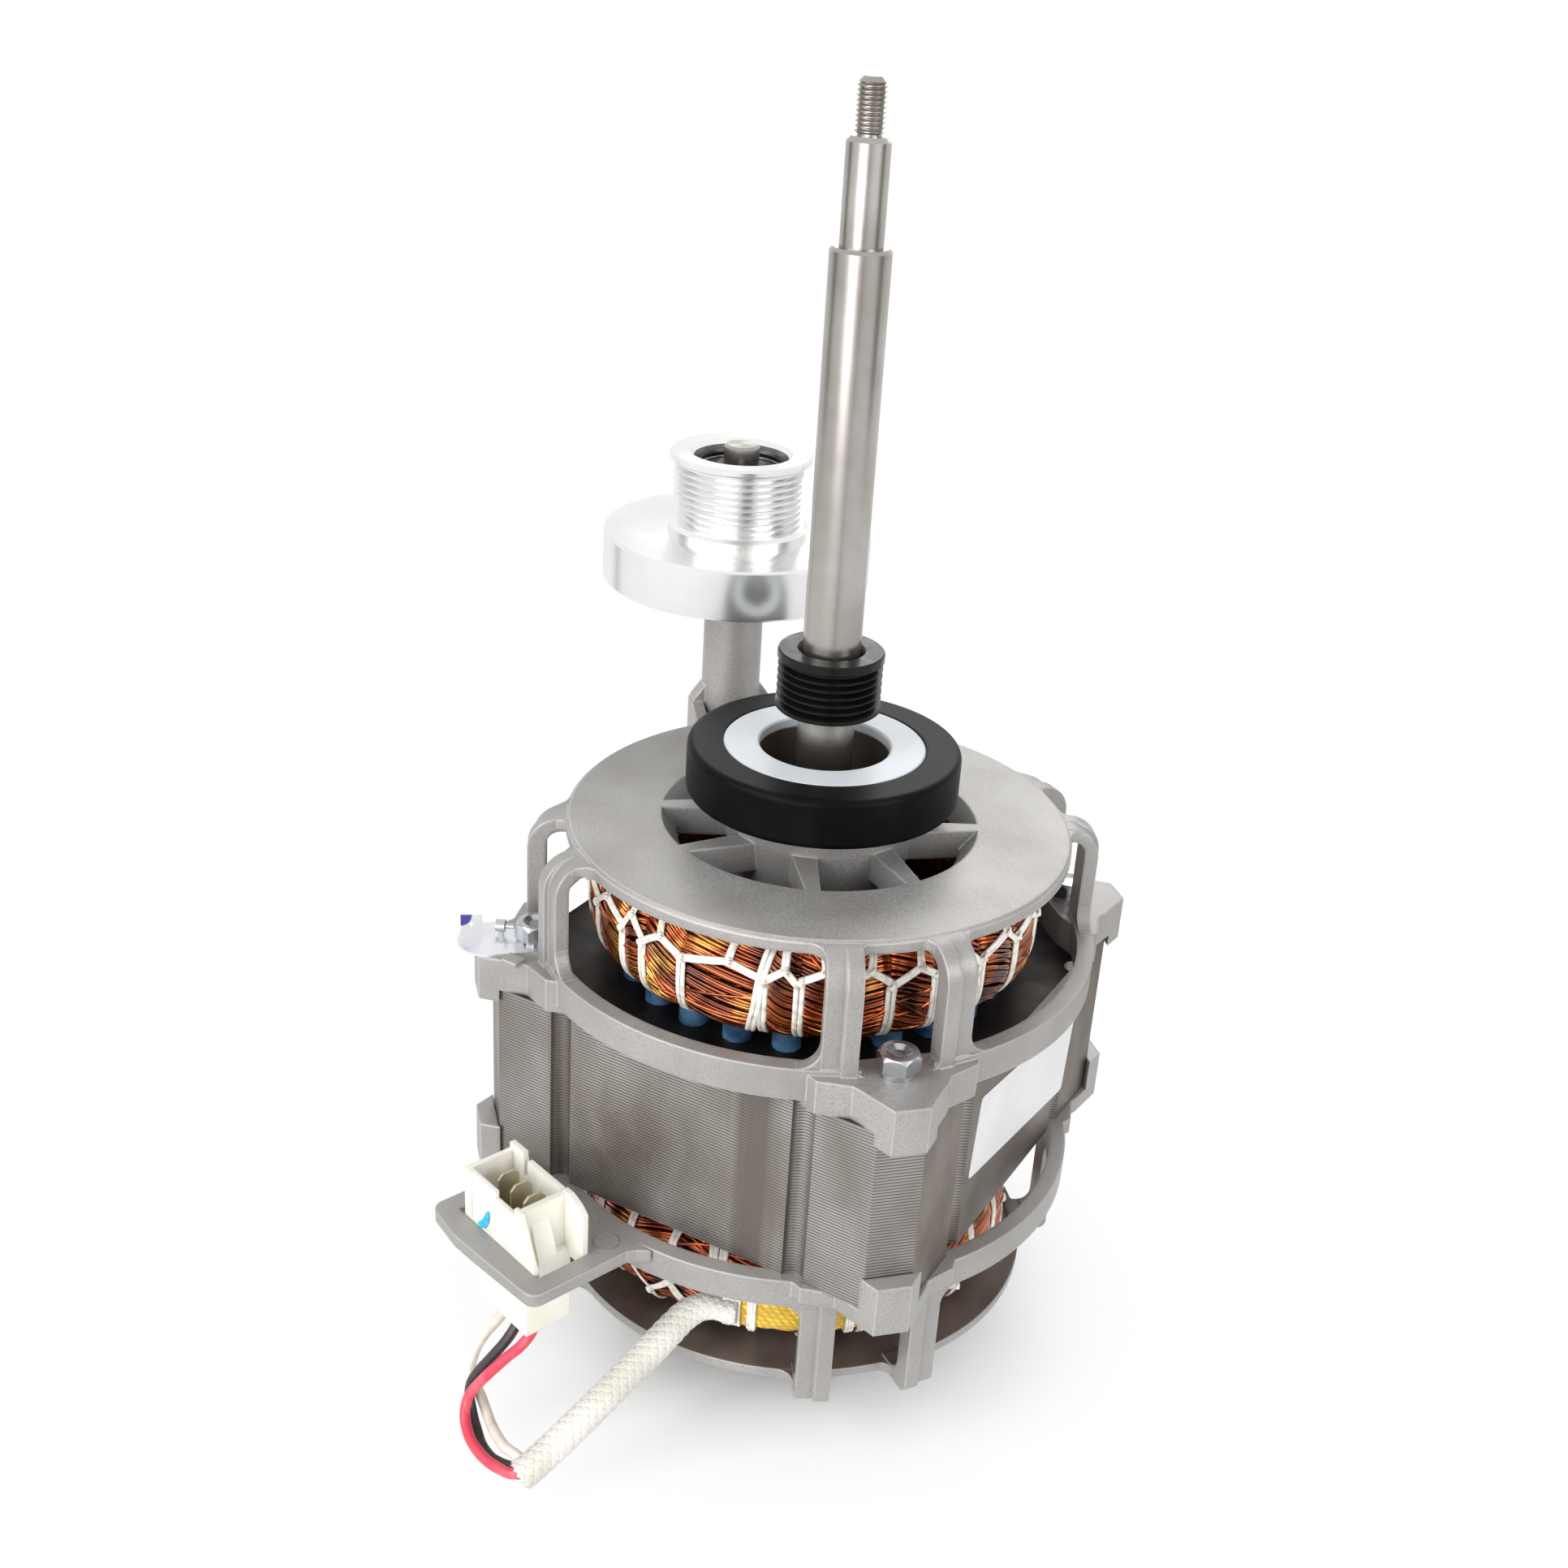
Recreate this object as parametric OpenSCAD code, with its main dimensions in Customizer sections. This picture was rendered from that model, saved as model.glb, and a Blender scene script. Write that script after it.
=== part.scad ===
// Tumble dryer motor: an induction motor between two open cast end bells, with rubber
// mounting rings on its hubs, a long fan shaft and a two-step belt pulley on a fixed pin.
// Millimetres, +Z up along the shaft. The origin is on the shaft axis, in the plane on which
// the lower mounting ring stands.

/* [Stator stack] */
// Width of the lamination stack across the label's side, from front to back
stack_side = 151; // [148:0.5:153]
// Width of the lamination stack, from the label's side to the opposite one
stack_width = 147; // [145:0.5:150]
// Height of the lamination stack
stack_h = 60; // [40:1:90]
// Leg of the cut on each corner of the stack
stack_cut = 10; // [8:0.5:12]
// Depth of the round grooves along the stack's sides
groove_depth = 3; // [1.5:0.5:4]
// Width of the round grooves
groove_w = 7.1; // [5:0.1:8]
// Distance of each groove from the middle of its side
groove_offset = 40.8; // [34:0.1:46]
// The same distance on the label's side and the opposite one
side_groove_offset = 38; // [34:0.1:42]
// Number of winding slots
slots = 24; // [20:4:28]
// Bore of the stator
bore_d = 80; // [76:0.5:82]
// Radius on which the slots' round ends are centred
slot_centre_r = 56.7; // [55:0.1:57.5]
// Width of a slot at its round end
slot_w = 8.6; // [7:0.1:9]
// Width of a slot at its inner end
slot_mouth_w = 5.6; // [4.6:0.1:6]
// Gap between the bore and the rotor
air_gap = 0.4; // [0.3:0.05:0.8]

/* [Winding] */
// Radius of the middle of the wound ring
coil_mid_r = 56.6; // [56:0.1:57.2]
// Half width of the wound ring, over its outer turns
coil_half_w = 12.9; // [12:0.1:13.2]
// Gap between the wound ring and the inner face of the bell's disc
coil_disc_gap = 2.4; // [1.8:0.1:7]
// Distance of the ring's nearer face from the stack
coil_rise = 6.8; // [5:0.1:8]
// Number of turns in the outer layer that shows
turn_count = 12; // [8:1:12]
// Thickness of one outer turn
turn_d = 2.1; // [1.4:0.1:2.2]
// Wall of the blue slot liners
liner_t = 0.6; // [0.4:0.1:0.8]
// Height of the liners' cuffs beyond the stack
liner_cuff = 6.4; // [3:0.1:6.5]
// Width of a lacing cord
lace_w = 3.2; // [2:0.1:4]
// Thickness of a lacing cord
lace_t = 0.9; // [0.6:0.1:1.2]

/* [End bells] */
// Depth of a bell, from the stack to the outer face of its disc
bell_h = 46; // [44:0.5:52]
// Diameter of the disc
disc_d = 152.8; // [146:0.2:156]
// Thickness of the disc
disc_t = 4; // [3:0.1:4.5]
// Outer diameter of the ring that the arms stand on
ring_d = 174; // [172:0.5:176]
// Radial width of that ring
ring_w = 5; // [4.4:0.1:6]
// Gap between the upper bell's ring and the stack
upper_ring_lift = 2.2; // [0.6:0.1:3]
// Height of the upper bell's ring
upper_ring_h = 9.8; // [8:0.1:10.5]
// Height of the upper bell's ears over the stack
upper_ear_h = 10.4; // [8:0.1:11]
// Height of the lower bell's ring
lower_ring_h = 9; // [7:0.1:9.5]
// Height of the lower bell's ears below the stack
lower_ear_h = 5.2; // [4:0.1:8]
// Distance from one ear's corner cut to the shaft, measured as the sum of X and Y
ear_cut = 147; // [145:0.5:150]
// Drop of the upper ears' lips over the stack
upper_lip = 4; // [3:0.5:12]
// Rise of the lower ears' lips over the stack
lower_lip = 10.8; // [4:0.1:14]
// Thickness of the lips
lip_t = 2.6; // [2:0.1:3.5]
// Angle from a bolt to the near side of its arms
arm_near = 7.6; // [7:0.1:8]
// Angle from a bolt to the far side of its arms
arm_far = 14.4; // [13:0.1:15]
// Radial thickness of the arms
arm_t = 4.2; // [3:0.1:4.6]
// How far the rib on each arm stands out
arm_rib = 1.4; // [0.8:0.1:2]
// How far the arms' plain face lies inside the ring's outer wall
arm_step = 0.7; // [0.4:0.1:1.5]
// Radius of the upper arms' outer corner
upper_arm_corner = 10; // [8:0.5:12]
// Radius of the lower arms' outer corner, which is nearly square
lower_arm_corner = 3; // [2:0.5:10]
// Outer diameter of the vent pockets round the hub
pocket_d = 96; // [92:0.5:98]
// Depth of the spokes
spoke_h = 9; // [6:0.5:10]

/* [Hubs and mounting rings] */
// Distance from a disc's face to the end of its hub
hub_rise = 24.2; // [22:0.2:30]
// Diameter of the hub's boss
boss_d = 57.2; // [55:0.2:59]
// Diameter of the hub's tube inside the nylon ring
tube_d = 50; // [48:0.2:52]
// Outer diameter of the nylon ring
nylon_d = 60.8; // [60:0.2:64]
// Opening of the nylon ring
nylon_bore = 39.2; // [36:0.2:39.6]
// Thickness of the nylon ring's cap over the hub
nylon_cap = 3; // [2:0.1:4]
// Outer diameter of the rubber ring
rubber_d = 82; // [78:0.5:88]
// Height of the rubber and nylon rings
mount_h = 15.4; // [12:0.2:17]
// Depth of the bearings below the ends of the hubs
bearing_depth = 32; // [28:0.5:33]

/* [Bearings] */
// Outer diameter of the main bearings and bore of the hubs
bearing_d = 40; // [38:0.5:42]
// Width of the main bearings
bearing_w = 12; // [10:0.5:12]
// Bore of the main bearings and diameter of the shaft
shaft_d = 17; // [15:0.5:18]
// Balls in each main bearing
ball_count = 8; // [7:1:8]
// Diameter of those balls
ball_d = 6.6; // [6:0.1:6.8]

/* [Shaft and rotor] */
// Height of the shoulder below the fan seat
shoulder_z = 344.4; // [300:0.2:380]
// Diameter of the fan seat
seat_d = 12; // [10:0.5:13]
// Length of the fan seat
seat_h = 28.1; // [15:0.1:35]
// Nominal diameter of the end thread
thread_d = 8; // [6:0.5:9]
// Pitch of the end thread
thread_pitch = 1.25; // [1:0.25:1.5]
// Number of thread crests
thread_turns = 10; // [6:1:14]
// Diameter of the shaft inside the rotor
rotor_seat_d = 20; // [19:0.5:24]
// Height of the rotor's end rings
end_ring_h = 11; // [6:0.5:13]
// Number of bars in the rotor cage
bar_count = 28; // [20:2:30]
// Diameter of a cage bar
bar_d = 4.4; // [3:0.1:4.6]

/* [Drive pulley] */
// Height of the drive pulley's lower face
drive_z = 212.2; // [206:0.2:240]
// Outer diameter of the drive pulley
drive_d = 31.4; // [29:0.2:34]
// Number of belt grooves
drive_grooves = 6; // [4:1:7]
// Distance between belt grooves
groove_pitch = 2.34; // [2.2:0.02:2.4]
// Depth of the belt grooves
groove_cut = 1.7; // [1.2:0.1:2]
// Height of the drive pulley's top flange
drive_flange = 2.7; // [2:0.1:4]
// Height of its bottom flange
drive_base = 1.4; // [1:0.1:2]

/* [Idler pulley] */
// Distance of the idler's axis from the shaft, along the diagonal
idler_r = 115; // [112:0.5:120]
// Height of the drum's lower face
drum_z = 212.4; // [208:0.2:230]
// Diameter of the drum
drum_d = 92; // [80:0.5:94]
// Height of the drum
drum_h = 17.2; // [14:0.2:24]
// Diameter over the small pulley's ribs
rib_d = 45; // [43:0.2:50]
// Diameter of the small pulley's flanges
rib_flange_d = 48.4; // [46:0.2:52]
// Number of grooves in the small pulley
rib_grooves = 9; // [6:1:10]
// Height of the small pulley's top flange
rib_flange = 3; // [2:0.1:4]
// Height of its bottom flange
rib_base = 3.2; // [2:0.1:4]
// Diameter of the idler's pin
pin_d = 12; // [10:0.5:12.5]
// Bore of the pulley, over its bearings
idler_bearing_d = 32; // [30:0.5:33]
// Width of each idler bearing
idler_bearing_w = 10; // [8:0.5:10]
// Depth of the upper idler bearing below the pulley's top
idler_recess = 5; // [4:0.2:7]
// Height of the pin above the pulley's top
pin_over = 2.6; // [1:0.2:4]
// Diameter of the cast post under the idler
post_d = 20.5; // [19:0.5:22]

/* [Fasteners] */
// Distance of the bolts from the shaft's axis, across and along
bolt_xy = 60.8; // [60:0.1:61.2]
// Diameter of the through bolts
bolt_d = 6; // [5:0.5:7]
// Width of the bolt heads and nuts across flats
bolt_flats = 11; // [10:0.5:12]
// Height of the bolt heads
bolt_head_h = 5.2; // [4:0.1:6]
// Diameter of the washers
washer_d = 11; // [10.4:0.2:13]
// Thickness of the washers
washer_t = 1.6; // [1.2:0.1:2]

/* [Earth tab] */
// Thickness of the tab
tab_t = 0.8; // [0.6:0.1:1.2]
// Width of the upright blade
blade_w = 6.3; // [4.8:0.1:6.5]
// Height of the upright blade
blade_h = 8; // [6:0.5:10]

/* [Connector] */
// Length of the opening in the loop that holds the connector
loop_l = 39.7; // [38:0.1:44]
// Width of that opening
loop_w = 18.1; // [17:0.1:20]
// Thickness of the loop's plate
loop_t = 4; // [3:0.1:5]
// Width of the loop's rim
loop_rim = 6.2; // [4:0.1:7]
// Length of the connector's socket
conn_l = 27.8; // [26.5:0.1:28.5]
// Length of the block under the socket
conn_foot_l = 25.8; // [25:0.1:26.5]
// Width of the block under the socket
conn_foot_w = 15.5; // [14:0.1:16]
// Height of the connector
conn_h = 43.5; // [40:0.5:46]
// Height of the part below the loop
conn_below = 22.7; // [16:0.5:24]
// Wall of the socket
conn_wall = 1.8; // [1.2:0.1:2.2]
// Depth of the socket
conn_depth = 20; // [16:0.5:22]
// Distance between the contacts
contact_pitch = 6.6; // [6:0.1:7]

/* [Leads and label] */
// Diameter of each lead
lead_d = 3.3; // [2.4:0.1:3.4]
// Diameter of the braided sleeve
sleeve_d = 9.5; // [8:0.1:10]
// Length of the label
label_l = 74; // [50:1:76]
// Height of the label
label_h = 27; // [15:1:30]
// Height of the label's middle over the stack's lower face
label_up = 30; // [24:0.5:44]
// Tilt of the label
label_tilt = -7.5; // [-8:0.5:8]
// Thickness of the label
label_t = 0.2; // [0.1:0.05:0.4]

/* [Hidden] */

// Fineness of true circles
$fn = 96;
// Clearance of a close fit, on the radius
fit = 0.03;
// Clearance between neighbours that don't bear on each other
free = 0.3;
// Small length by which shapes of one casting run into each other
sink = 0.02;

// Heights of the main planes
disc_lo_z = hub_rise;
stack_lo_z = disc_lo_z + bell_h;
stack_hi_z = stack_lo_z + stack_h;
disc_hi_z = stack_hi_z + bell_h;

// Plan of the stack and the ears: half sizes along X and along Y
half_x = stack_width / 2;
half_y = stack_side / 2;
cut_plane = half_x + half_y - stack_cut;
ear_x = half_x + lip_t;
ear_y = half_y + lip_t;
ring_r = ring_d / 2;
ring_in = ring_r - ring_w;
bolt_hole_d = bolt_d + 2 * free;

// Hub, in a bell's own frame with z = 0 on the stack and rising outwards
hub_end = bell_h + hub_rise;
bearing_out = hub_end - bearing_depth;
bearing_in = bearing_out - bearing_w;
wave_h = 1.2;
hub_floor = bearing_in - wave_h;
floor_t = 3;

// Wound ring, in a bell's own frame
coil_half_h = (bell_h - disc_t - coil_disc_gap - coil_rise) / 2;
coil_mid_z = coil_rise + coil_half_h;
// The turns lie over a core that is smaller by their thickness and this gap
turn_gap = 0.9;
core_inset = turn_d + turn_gap;
// Exponent that squares up the oval section
section_power = 3;

// Idler, its axis on the diagonal of the corner at -X +Y
idler_x = -idler_r * cos(45);
idler_y = idler_r * sin(45);
rib_z = drum_z + drum_h;
rib_h = rib_base + rib_grooves * groove_pitch + rib_flange;
idler_top_z = rib_z + rib_h;
pin_top_z = idler_top_z + pin_over;
upper_idler_bearing_z = idler_top_z - idler_recess - idler_bearing_w;
lower_idler_bearing_z = drum_z + 2;
post_top_z = drum_z - 1.2;

// Drive pulley and shaft
drive_h = drive_base + drive_grooves * groove_pitch + drive_flange;
thread_relief = 0.6;
nose_h = 1.6;
thread_z = shoulder_z + seat_h + thread_relief;
shaft_top_z = thread_z + thread_turns * thread_pitch + nose_h;
shaft_low_z = 6;
rotor_r = bore_d / 2 - air_gap;

// Connector, turned about the centre of the loop's opening
conn_x = -35.3;
conn_y = -101;
conn_turn = -18.3;
// Clearance of the housing in the opening, on each side
loop_gap = 0.2;
loop_top_z = stack_lo_z;
loop_low_z = loop_top_z - loop_t;
conn_low_z = loop_low_z - conn_below;
conn_top_z = conn_low_z + conn_h;
conn_w = loop_w - 2 * loop_gap;
// Left end of the socket, from the middle of the opening
socket_left = -17;

// Routes of the leads, chosen by hand: each leaves the housing and ends in the sleeve
sleeve_route = [[21.8, -72.4, 47], [18.5, -73.5, 47], [14.3, -74.4, 47], [10.9, -76, 46],
    [8.2, -79, 44],
    [6.4, -82.7, 41.5], [4.4, -88.1, 38], [1, -95.8, 32.5], [-2.5, -103.1, 27],
    [-6, -110.3, 21.5], [-9.7, -117.1, 16], [-13.4, -123.9, 10.8], [-15.8, -127.4, 8]];
red_route = [[-28.3, -105.4, 43.5], [-28.3, -105.5, 41], [-28.8, -106.2, 38],
    [-31, -108.5, 34], [-34.2, -110.4, 30], [-37.1, -112.6, 26], [-39.9, -114, 22],
    [-42.3, -115.6, 18], [-43.7, -116.9, 14.8], [-43.6, -118.5, 11.8], [-42.2, -120.5, 9.8],
    [-40, -122.4, 8.5], [-36.6, -124.8, 7.9], [-32, -127, 7.6], [-27.2, -128.5, 7.6],
    [-22.5, -129.2, 8], [-19, -129.4, 8.5], [-15.6, -128.6, 9.4]];
black_route = [[-34.6, -103.3, 43.5], [-34.6, -103.5, 40.6], [-35.2, -104.9, 37.3],
    [-36.5, -107.1, 33.5], [-38.6, -109, 29.5], [-41, -110.4, 25.5], [-43.8, -111.6, 20.8],
    [-45.8, -112.6, 16.3], [-46, -113.6, 11.5], [-43.5, -115.6, 7.8], [-40.1, -118, 5.6],
    [-35.2, -121.6, 4.4], [-30.2, -123.8, 4.1], [-25.8, -124.6, 4.6], [-22, -124.9, 5.6],
    [-19, -125, 6.4], [-16.4, -125, 7]];
white_route = [[-40.9, -101.3, 43.5], [-40.9, -101.5, 40.6], [-41.7, -102.6, 37.5],
    [-43.4, -104.3, 34.3], [-45.6, -105.9, 30.5], [-47.3, -107.4, 26.5], [-48.5, -108.4, 22],
    [-49, -109, 17.5], [-47.8, -109.3, 13], [-44.6, -110.3, 10.2], [-41, -112.5, 8.8],
    [-36.5, -115.8, 8], [-31.2, -119.3, 8.2], [-26, -122.4, 9.2], [-21.5, -124.2, 10.7],
    [-17.2, -125.5, 11.2]];

// Places at the four corners, starting at +X +Y and turning left
module at_corners() {
    for (a = [45 : 90 : 315]) rotate([0, 0, a]) children();
}

// A flat ring with true round walls
module ring(outer_d, inner_d, h) {
    difference() {
        cylinder(d = outer_d, h = h);
        translate([0, 0, -1]) cylinder(d = inner_d, h = h + 2);
    }
}

// The same shape at all four corners of the stack, mirrored from the one at +X +Y
module mirror_corners() {
    for (x = [0, 1], y = [0, 1]) mirror([x, 0, 0]) mirror([0, y, 0]) children();
}

// Plan of the stack with its cut corners, grown outwards by g
module stack_plan(g = 0) {
    sx = half_x + g;
    sy = half_y + g;
    c = stack_cut + g * (2 - sqrt(2));
    polygon([[sx, sy - c], [sx - c, sy], [c - sx, sy], [-sx, sy - c],
        [-sx, c - sy], [c - sx, -sy], [sx - c, -sy], [sx, c - sy]]);
}

// Half plan of a slot along +X, drawn in by g on all sides
module slot_plan(g = 0) {
    mouth_r = bore_d / 2 + 1.8 + g;
    w = slot_w / 2 - g;
    m = slot_mouth_w / 2 - g;
    union() {
        translate([slot_centre_r, 0]) circle(r = w);
        polygon([[mouth_r, -m], [slot_centre_r, -w], [slot_centre_r, w], [mouth_r, m]]);
    }
}

module stator_core() {
    wedge_gap_w = 2.6;
    groove_r = (pow(groove_w / 2, 2) + pow(groove_depth, 2)) / (2 * groove_depth);
    color([0.50, 0.48, 0.46])
    translate([0, 0, stack_lo_z])
    linear_extrude(stack_h)
    difference() {
        stack_plan();
        circle(d = bore_d);
        for (i = [0 : slots - 1])
            rotate([0, 0, (i + 0.5) * 360 / slots]) {
                slot_plan();
                translate([bore_d / 2 - 1, -wedge_gap_w / 2]) square([4, wedge_gap_w]);
            }
        for (face = [-1, 1], side = [-1, 1]) {
            translate([face * (half_x - groove_depth + groove_r), side * side_groove_offset])
                circle(r = groove_r);
            translate([side * groove_offset, face * (half_y - groove_depth + groove_r)])
                circle(r = groove_r);
        }
        at_corners() translate([bolt_xy * sqrt(2), 0]) circle(d = bolt_hole_d);
    }
}

module slot_liners() {
    color([0.31, 0.51, 0.69])
    for (i = [0 : slots - 1])
        rotate([0, 0, (i + 0.5) * 360 / slots])
        translate([0, 0, stack_lo_z - liner_cuff])
        linear_extrude(stack_h + 2 * liner_cuff)
        difference() {
            slot_plan(fit);
            slot_plan(fit + liner_t);
            translate([bore_d / 2, -slot_w]) square([3.4, 2 * slot_w]);
        }
}

module slot_wedges() {
    wedge_t = 1;
    wedge_w = slot_mouth_w - 0.6;
    color([0.85, 0.82, 0.72])
    for (i = [0 : slots - 1])
        rotate([0, 0, (i + 0.5) * 360 / slots])
        translate([bore_d / 2 + 1.9, -wedge_w / 2, stack_lo_z - 2])
        cube([wedge_t, wedge_w, stack_h + 4]);
}

// A point on the wound ring's section, at angle t from the outward direction, grown by g
function section_point(t, g) =
    let (c = cos(t), s = sin(t), n = 2 / section_power)
    [coil_mid_r + sign(c) * (coil_half_w + g) * pow(abs(c), n),
     coil_mid_z + sign(s) * (coil_half_h + g) * pow(abs(s), n)];

// One wound ring in a bell's own frame
module coil_ring() {
    rotate_extrude()
    polygon([for (t = [0 : 15 : 345]) section_point(t, -core_inset)]);
}

module stator_winding() {
    conductor_gap = fit + liner_t + 0.1;
    leg_low = stack_lo_z - coil_rise - core_inset - 1;
    leg_h = stack_h + 2 * (coil_rise + core_inset + 1);
    color([0.66, 0.33, 0.14])
    union() {
        translate([0, 0, stack_hi_z]) coil_ring();
        translate([0, 0, stack_lo_z]) mirror([0, 0, 1]) coil_ring();
        for (i = [0 : slots - 1])
            rotate([0, 0, (i + 0.5) * 360 / slots])
            translate([0, 0, leg_low])
            linear_extrude(leg_h)
            difference() {
                slot_plan(conductor_gap);
                translate([bore_d / 2, -slot_w]) square([4, 2 * slot_w]);
            }
    }
}

// Outer layer of turns: one unbroken tube that climbs round the wound ring
rings_a_turn = 24;
turn_sides = 6;
turn_steps = turn_count * rings_a_turn;
// The turns climb the outside of the section at an even spacing along its outline
turn_gap_along = 0.7;
outline_steps = 90;
function outline_angle(i) = -90 + 180 * i / outline_steps;
function outline_place(i) = section_point(outline_angle(i), -turn_d / 2);
outline_lengths = [for (i = 0, s = 0; i <= outline_steps;
    s = s + norm(outline_place(i + 1) - outline_place(i)), i = i + 1) [s, outline_angle(i)]];
outline_total = outline_lengths[outline_steps][0];
climb = turn_count * (turn_d + turn_gap_along);
climb_from = (outline_total - climb) / 2;
function turn_angle(i) = 360 * i / rings_a_turn;
function turn_centre(i) =
    let (t = lookup(climb_from + climb * i / turn_steps, outline_lengths),
        p = section_point(t, -turn_d / 2), a = turn_angle(i))
    [p[0] * cos(a), p[0] * sin(a), p[1]];
function unit(v) = v / norm(v);
function turn_dir(i) =
    unit(turn_centre(min(i + 1, turn_steps)) - turn_centre(max(i - 1, 0)));
// A straight stub of one thickness goes on at each end
turn_path = concat(
    [turn_centre(0) - turn_dir(0) * turn_d],
    [for (i = [0 : turn_steps]) turn_centre(i)],
    [turn_centre(turn_steps) + turn_dir(turn_steps) * turn_d]);

// Least gap between neighbouring turns, tried ring by ring against the next turn
turn_gaps = [for (i = [0 : turn_steps - rings_a_turn], k = [-1, 0, 1])
    norm(turn_centre(i) - turn_centre(min(i + rings_a_turn + k, turn_steps))) - turn_d];
echo(least_turn_gap = min(turn_gaps));

// Direction of the path at point i, level with both neighbours
function path_dir(path, i) =
    unit(path[min(i + 1, len(path) - 1)] - path[max(i - 1, 0)]);

// Tube along a path, its rings square to it; lean is a direction that it never runs along
module tube(path, d, sides, lean) {
    n = len(path);
    rings = [for (i = [0 : n - 1])
        let (t = path_dir(path, i), u = unit(cross(t, lean)), v = cross(t, u))
        for (k = [0 : sides - 1])
            path[i] + d / 2 * (u * cos(360 * k / sides) + v * sin(360 * k / sides))];
    points = concat(rings, [path[0], path[n - 1]]);
    walls = [for (i = [0 : n - 2], k = [0 : sides - 1])
        let (a = i * sides + k, b = i * sides + (k + 1) % sides)
        each [[a, a + sides, b], [b, a + sides, b + sides]]];
    low_end = [for (k = [0 : sides - 1]) [n * sides, k, (k + 1) % sides]];
    high_end = [for (k = [0 : sides - 1])
        [n * sides + 1, (n - 1) * sides + (k + 1) % sides, (n - 1) * sides + k]];
    polyhedron(points = points, faces = concat(walls, low_end, high_end), convexity = 10);
}

module top_winding_turns() {
    color([0.80, 0.42, 0.16])
    translate([0, 0, stack_hi_z])
    tube(turn_path, turn_d, turn_sides, [0, 0, 1]);
}

module bottom_winding_turns() {
    color([0.80, 0.42, 0.16])
    translate([0, 0, stack_lo_z])
    mirror([0, 0, 1])
    tube(turn_path, turn_d, turn_sides, [0, 0, 1]);
}

// Lacing: upright bands over the turns, joined by one cord that runs round above them
module lacing_set() {
    inner_gap = 0.1;
    outer_gap = inner_gap + lace_t;
    from_t = -45;
    to_t = 75;
    band = 2 * asin(lace_w / 2 / (coil_mid_r + coil_half_w));
    for (i = [0 : slots - 1])
        rotate([0, 0, i * 360 / slots - band / 2])
        rotate_extrude(angle = band)
        polygon(concat(
            [for (t = [from_t : 15 : to_t]) section_point(t, inner_gap)],
            [for (t = [to_t : -15 : from_t]) section_point(t, outer_gap)]));
    rotate_extrude()
    polygon(concat(
        [for (t = [25, 35]) section_point(t, inner_gap)],
        [for (t = [35, 25]) section_point(t, outer_gap)]));
}

module top_lacing() {
    color([0.93, 0.92, 0.88])
    translate([0, 0, stack_hi_z])
    lacing_set();
}

module bottom_lacing() {
    color([0.93, 0.92, 0.88])
    translate([0, 0, stack_lo_z])
    mirror([0, 0, 1])
    lacing_set();
}

// Thermal protector in its yellow sleeve, tied on outside the lower wound ring
protector_r = coil_mid_r + coil_half_w + lace_t + 0.1 + free;
protector_w = 4.6;
protector_h = 11;
protector_z = stack_lo_z - coil_mid_z - 0.6;
protector_from = -74;
protector_arc = 29;

module protector_arc_band(r, w, h, arc) {
    rotate_extrude(angle = arc)
    translate([r, -h / 2]) square([w, h]);
}

module protector_sleeve() {
    wall = 0.8;
    color([0.90, 0.74, 0.10])
    translate([0, 0, protector_z])
    rotate([0, 0, protector_from])
    difference() {
        protector_arc_band(protector_r, protector_w, protector_h, protector_arc);
        rotate([0, 0, 3])
        protector_arc_band(protector_r + wall, protector_w - 2 * wall,
            protector_h - 2 * wall, protector_arc - 6);
    }
}

module thermal_protector() {
    wall = 0.8;
    color([0.75, 0.75, 0.77])
    translate([0, 0, protector_z])
    rotate([0, 0, protector_from + 6])
    protector_arc_band(protector_r + wall + 0.1, protector_w - 2 * wall - 0.2,
        protector_h - 2 * wall - 0.2, 16);
}

function polar(r, a) = [r * cos(a), r * sin(a)];

// Plan of the ear on the corner at +X +Y
module ear_plan() {
    seat_r = ring_in - 2.5;
    in_wall = ring_in + 1.5;
    out_wall = ring_r - 1.5;
    polygon([polar(in_wall, 31.5), polar(out_wall, 27.5), polar(ring_r + 2.6, 30),
        polar(ring_r + 4.8, 36.2), polar(ring_r + 7, 37.3),
        [ear_x, ear_cut - ear_x], [ear_cut - ear_y, ear_y],
        polar(ring_r + 7, 52.7), polar(ring_r + 4.8, 53.8),
        polar(ring_r + 2.6, 60), polar(out_wall, 62.5), polar(in_wall, 58.5),
        polar(seat_r, 53.5), polar(seat_r, 36.5)]);
}

// Lip of that ear: the part of its plan outside the stack and near the corner
module lip_plan() {
    difference() {
        ear_plan();
        stack_plan(free);
        polygon([[0, 0], [cut_plane, 0], [0, cut_plane]]);
    }
}

// One arm of a bell, seen from the side: up from the ring and in to the disc
module arm_profile(out, corner, low) {
    top = bell_h - 0.6;
    in_r = ring_r - arm_step - arm_t;
    under = bell_h - disc_t - 0.8;
    inner_corner = 4.5;
    start_r = disc_d / 2 - 3;
    difference() {
        union() {
            translate([start_r, low]) square([out - start_r, top - corner - low]);
            translate([start_r, low]) square([out - corner - start_r, top - low]);
            intersection() {
                translate([out - corner, top - corner]) circle(r = corner);
                translate([start_r, low]) square([out, top]);
            }
        }
        translate([start_r - 1, low - 1])
            square([in_r - start_r + 1, under - inner_corner + 1 - low]);
        translate([start_r - 1, low - 1])
            square([in_r - inner_corner - start_r + 1, under + 1 - low]);
        translate([in_r - inner_corner, under - inner_corner]) circle(r = inner_corner);
    }
}

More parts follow.
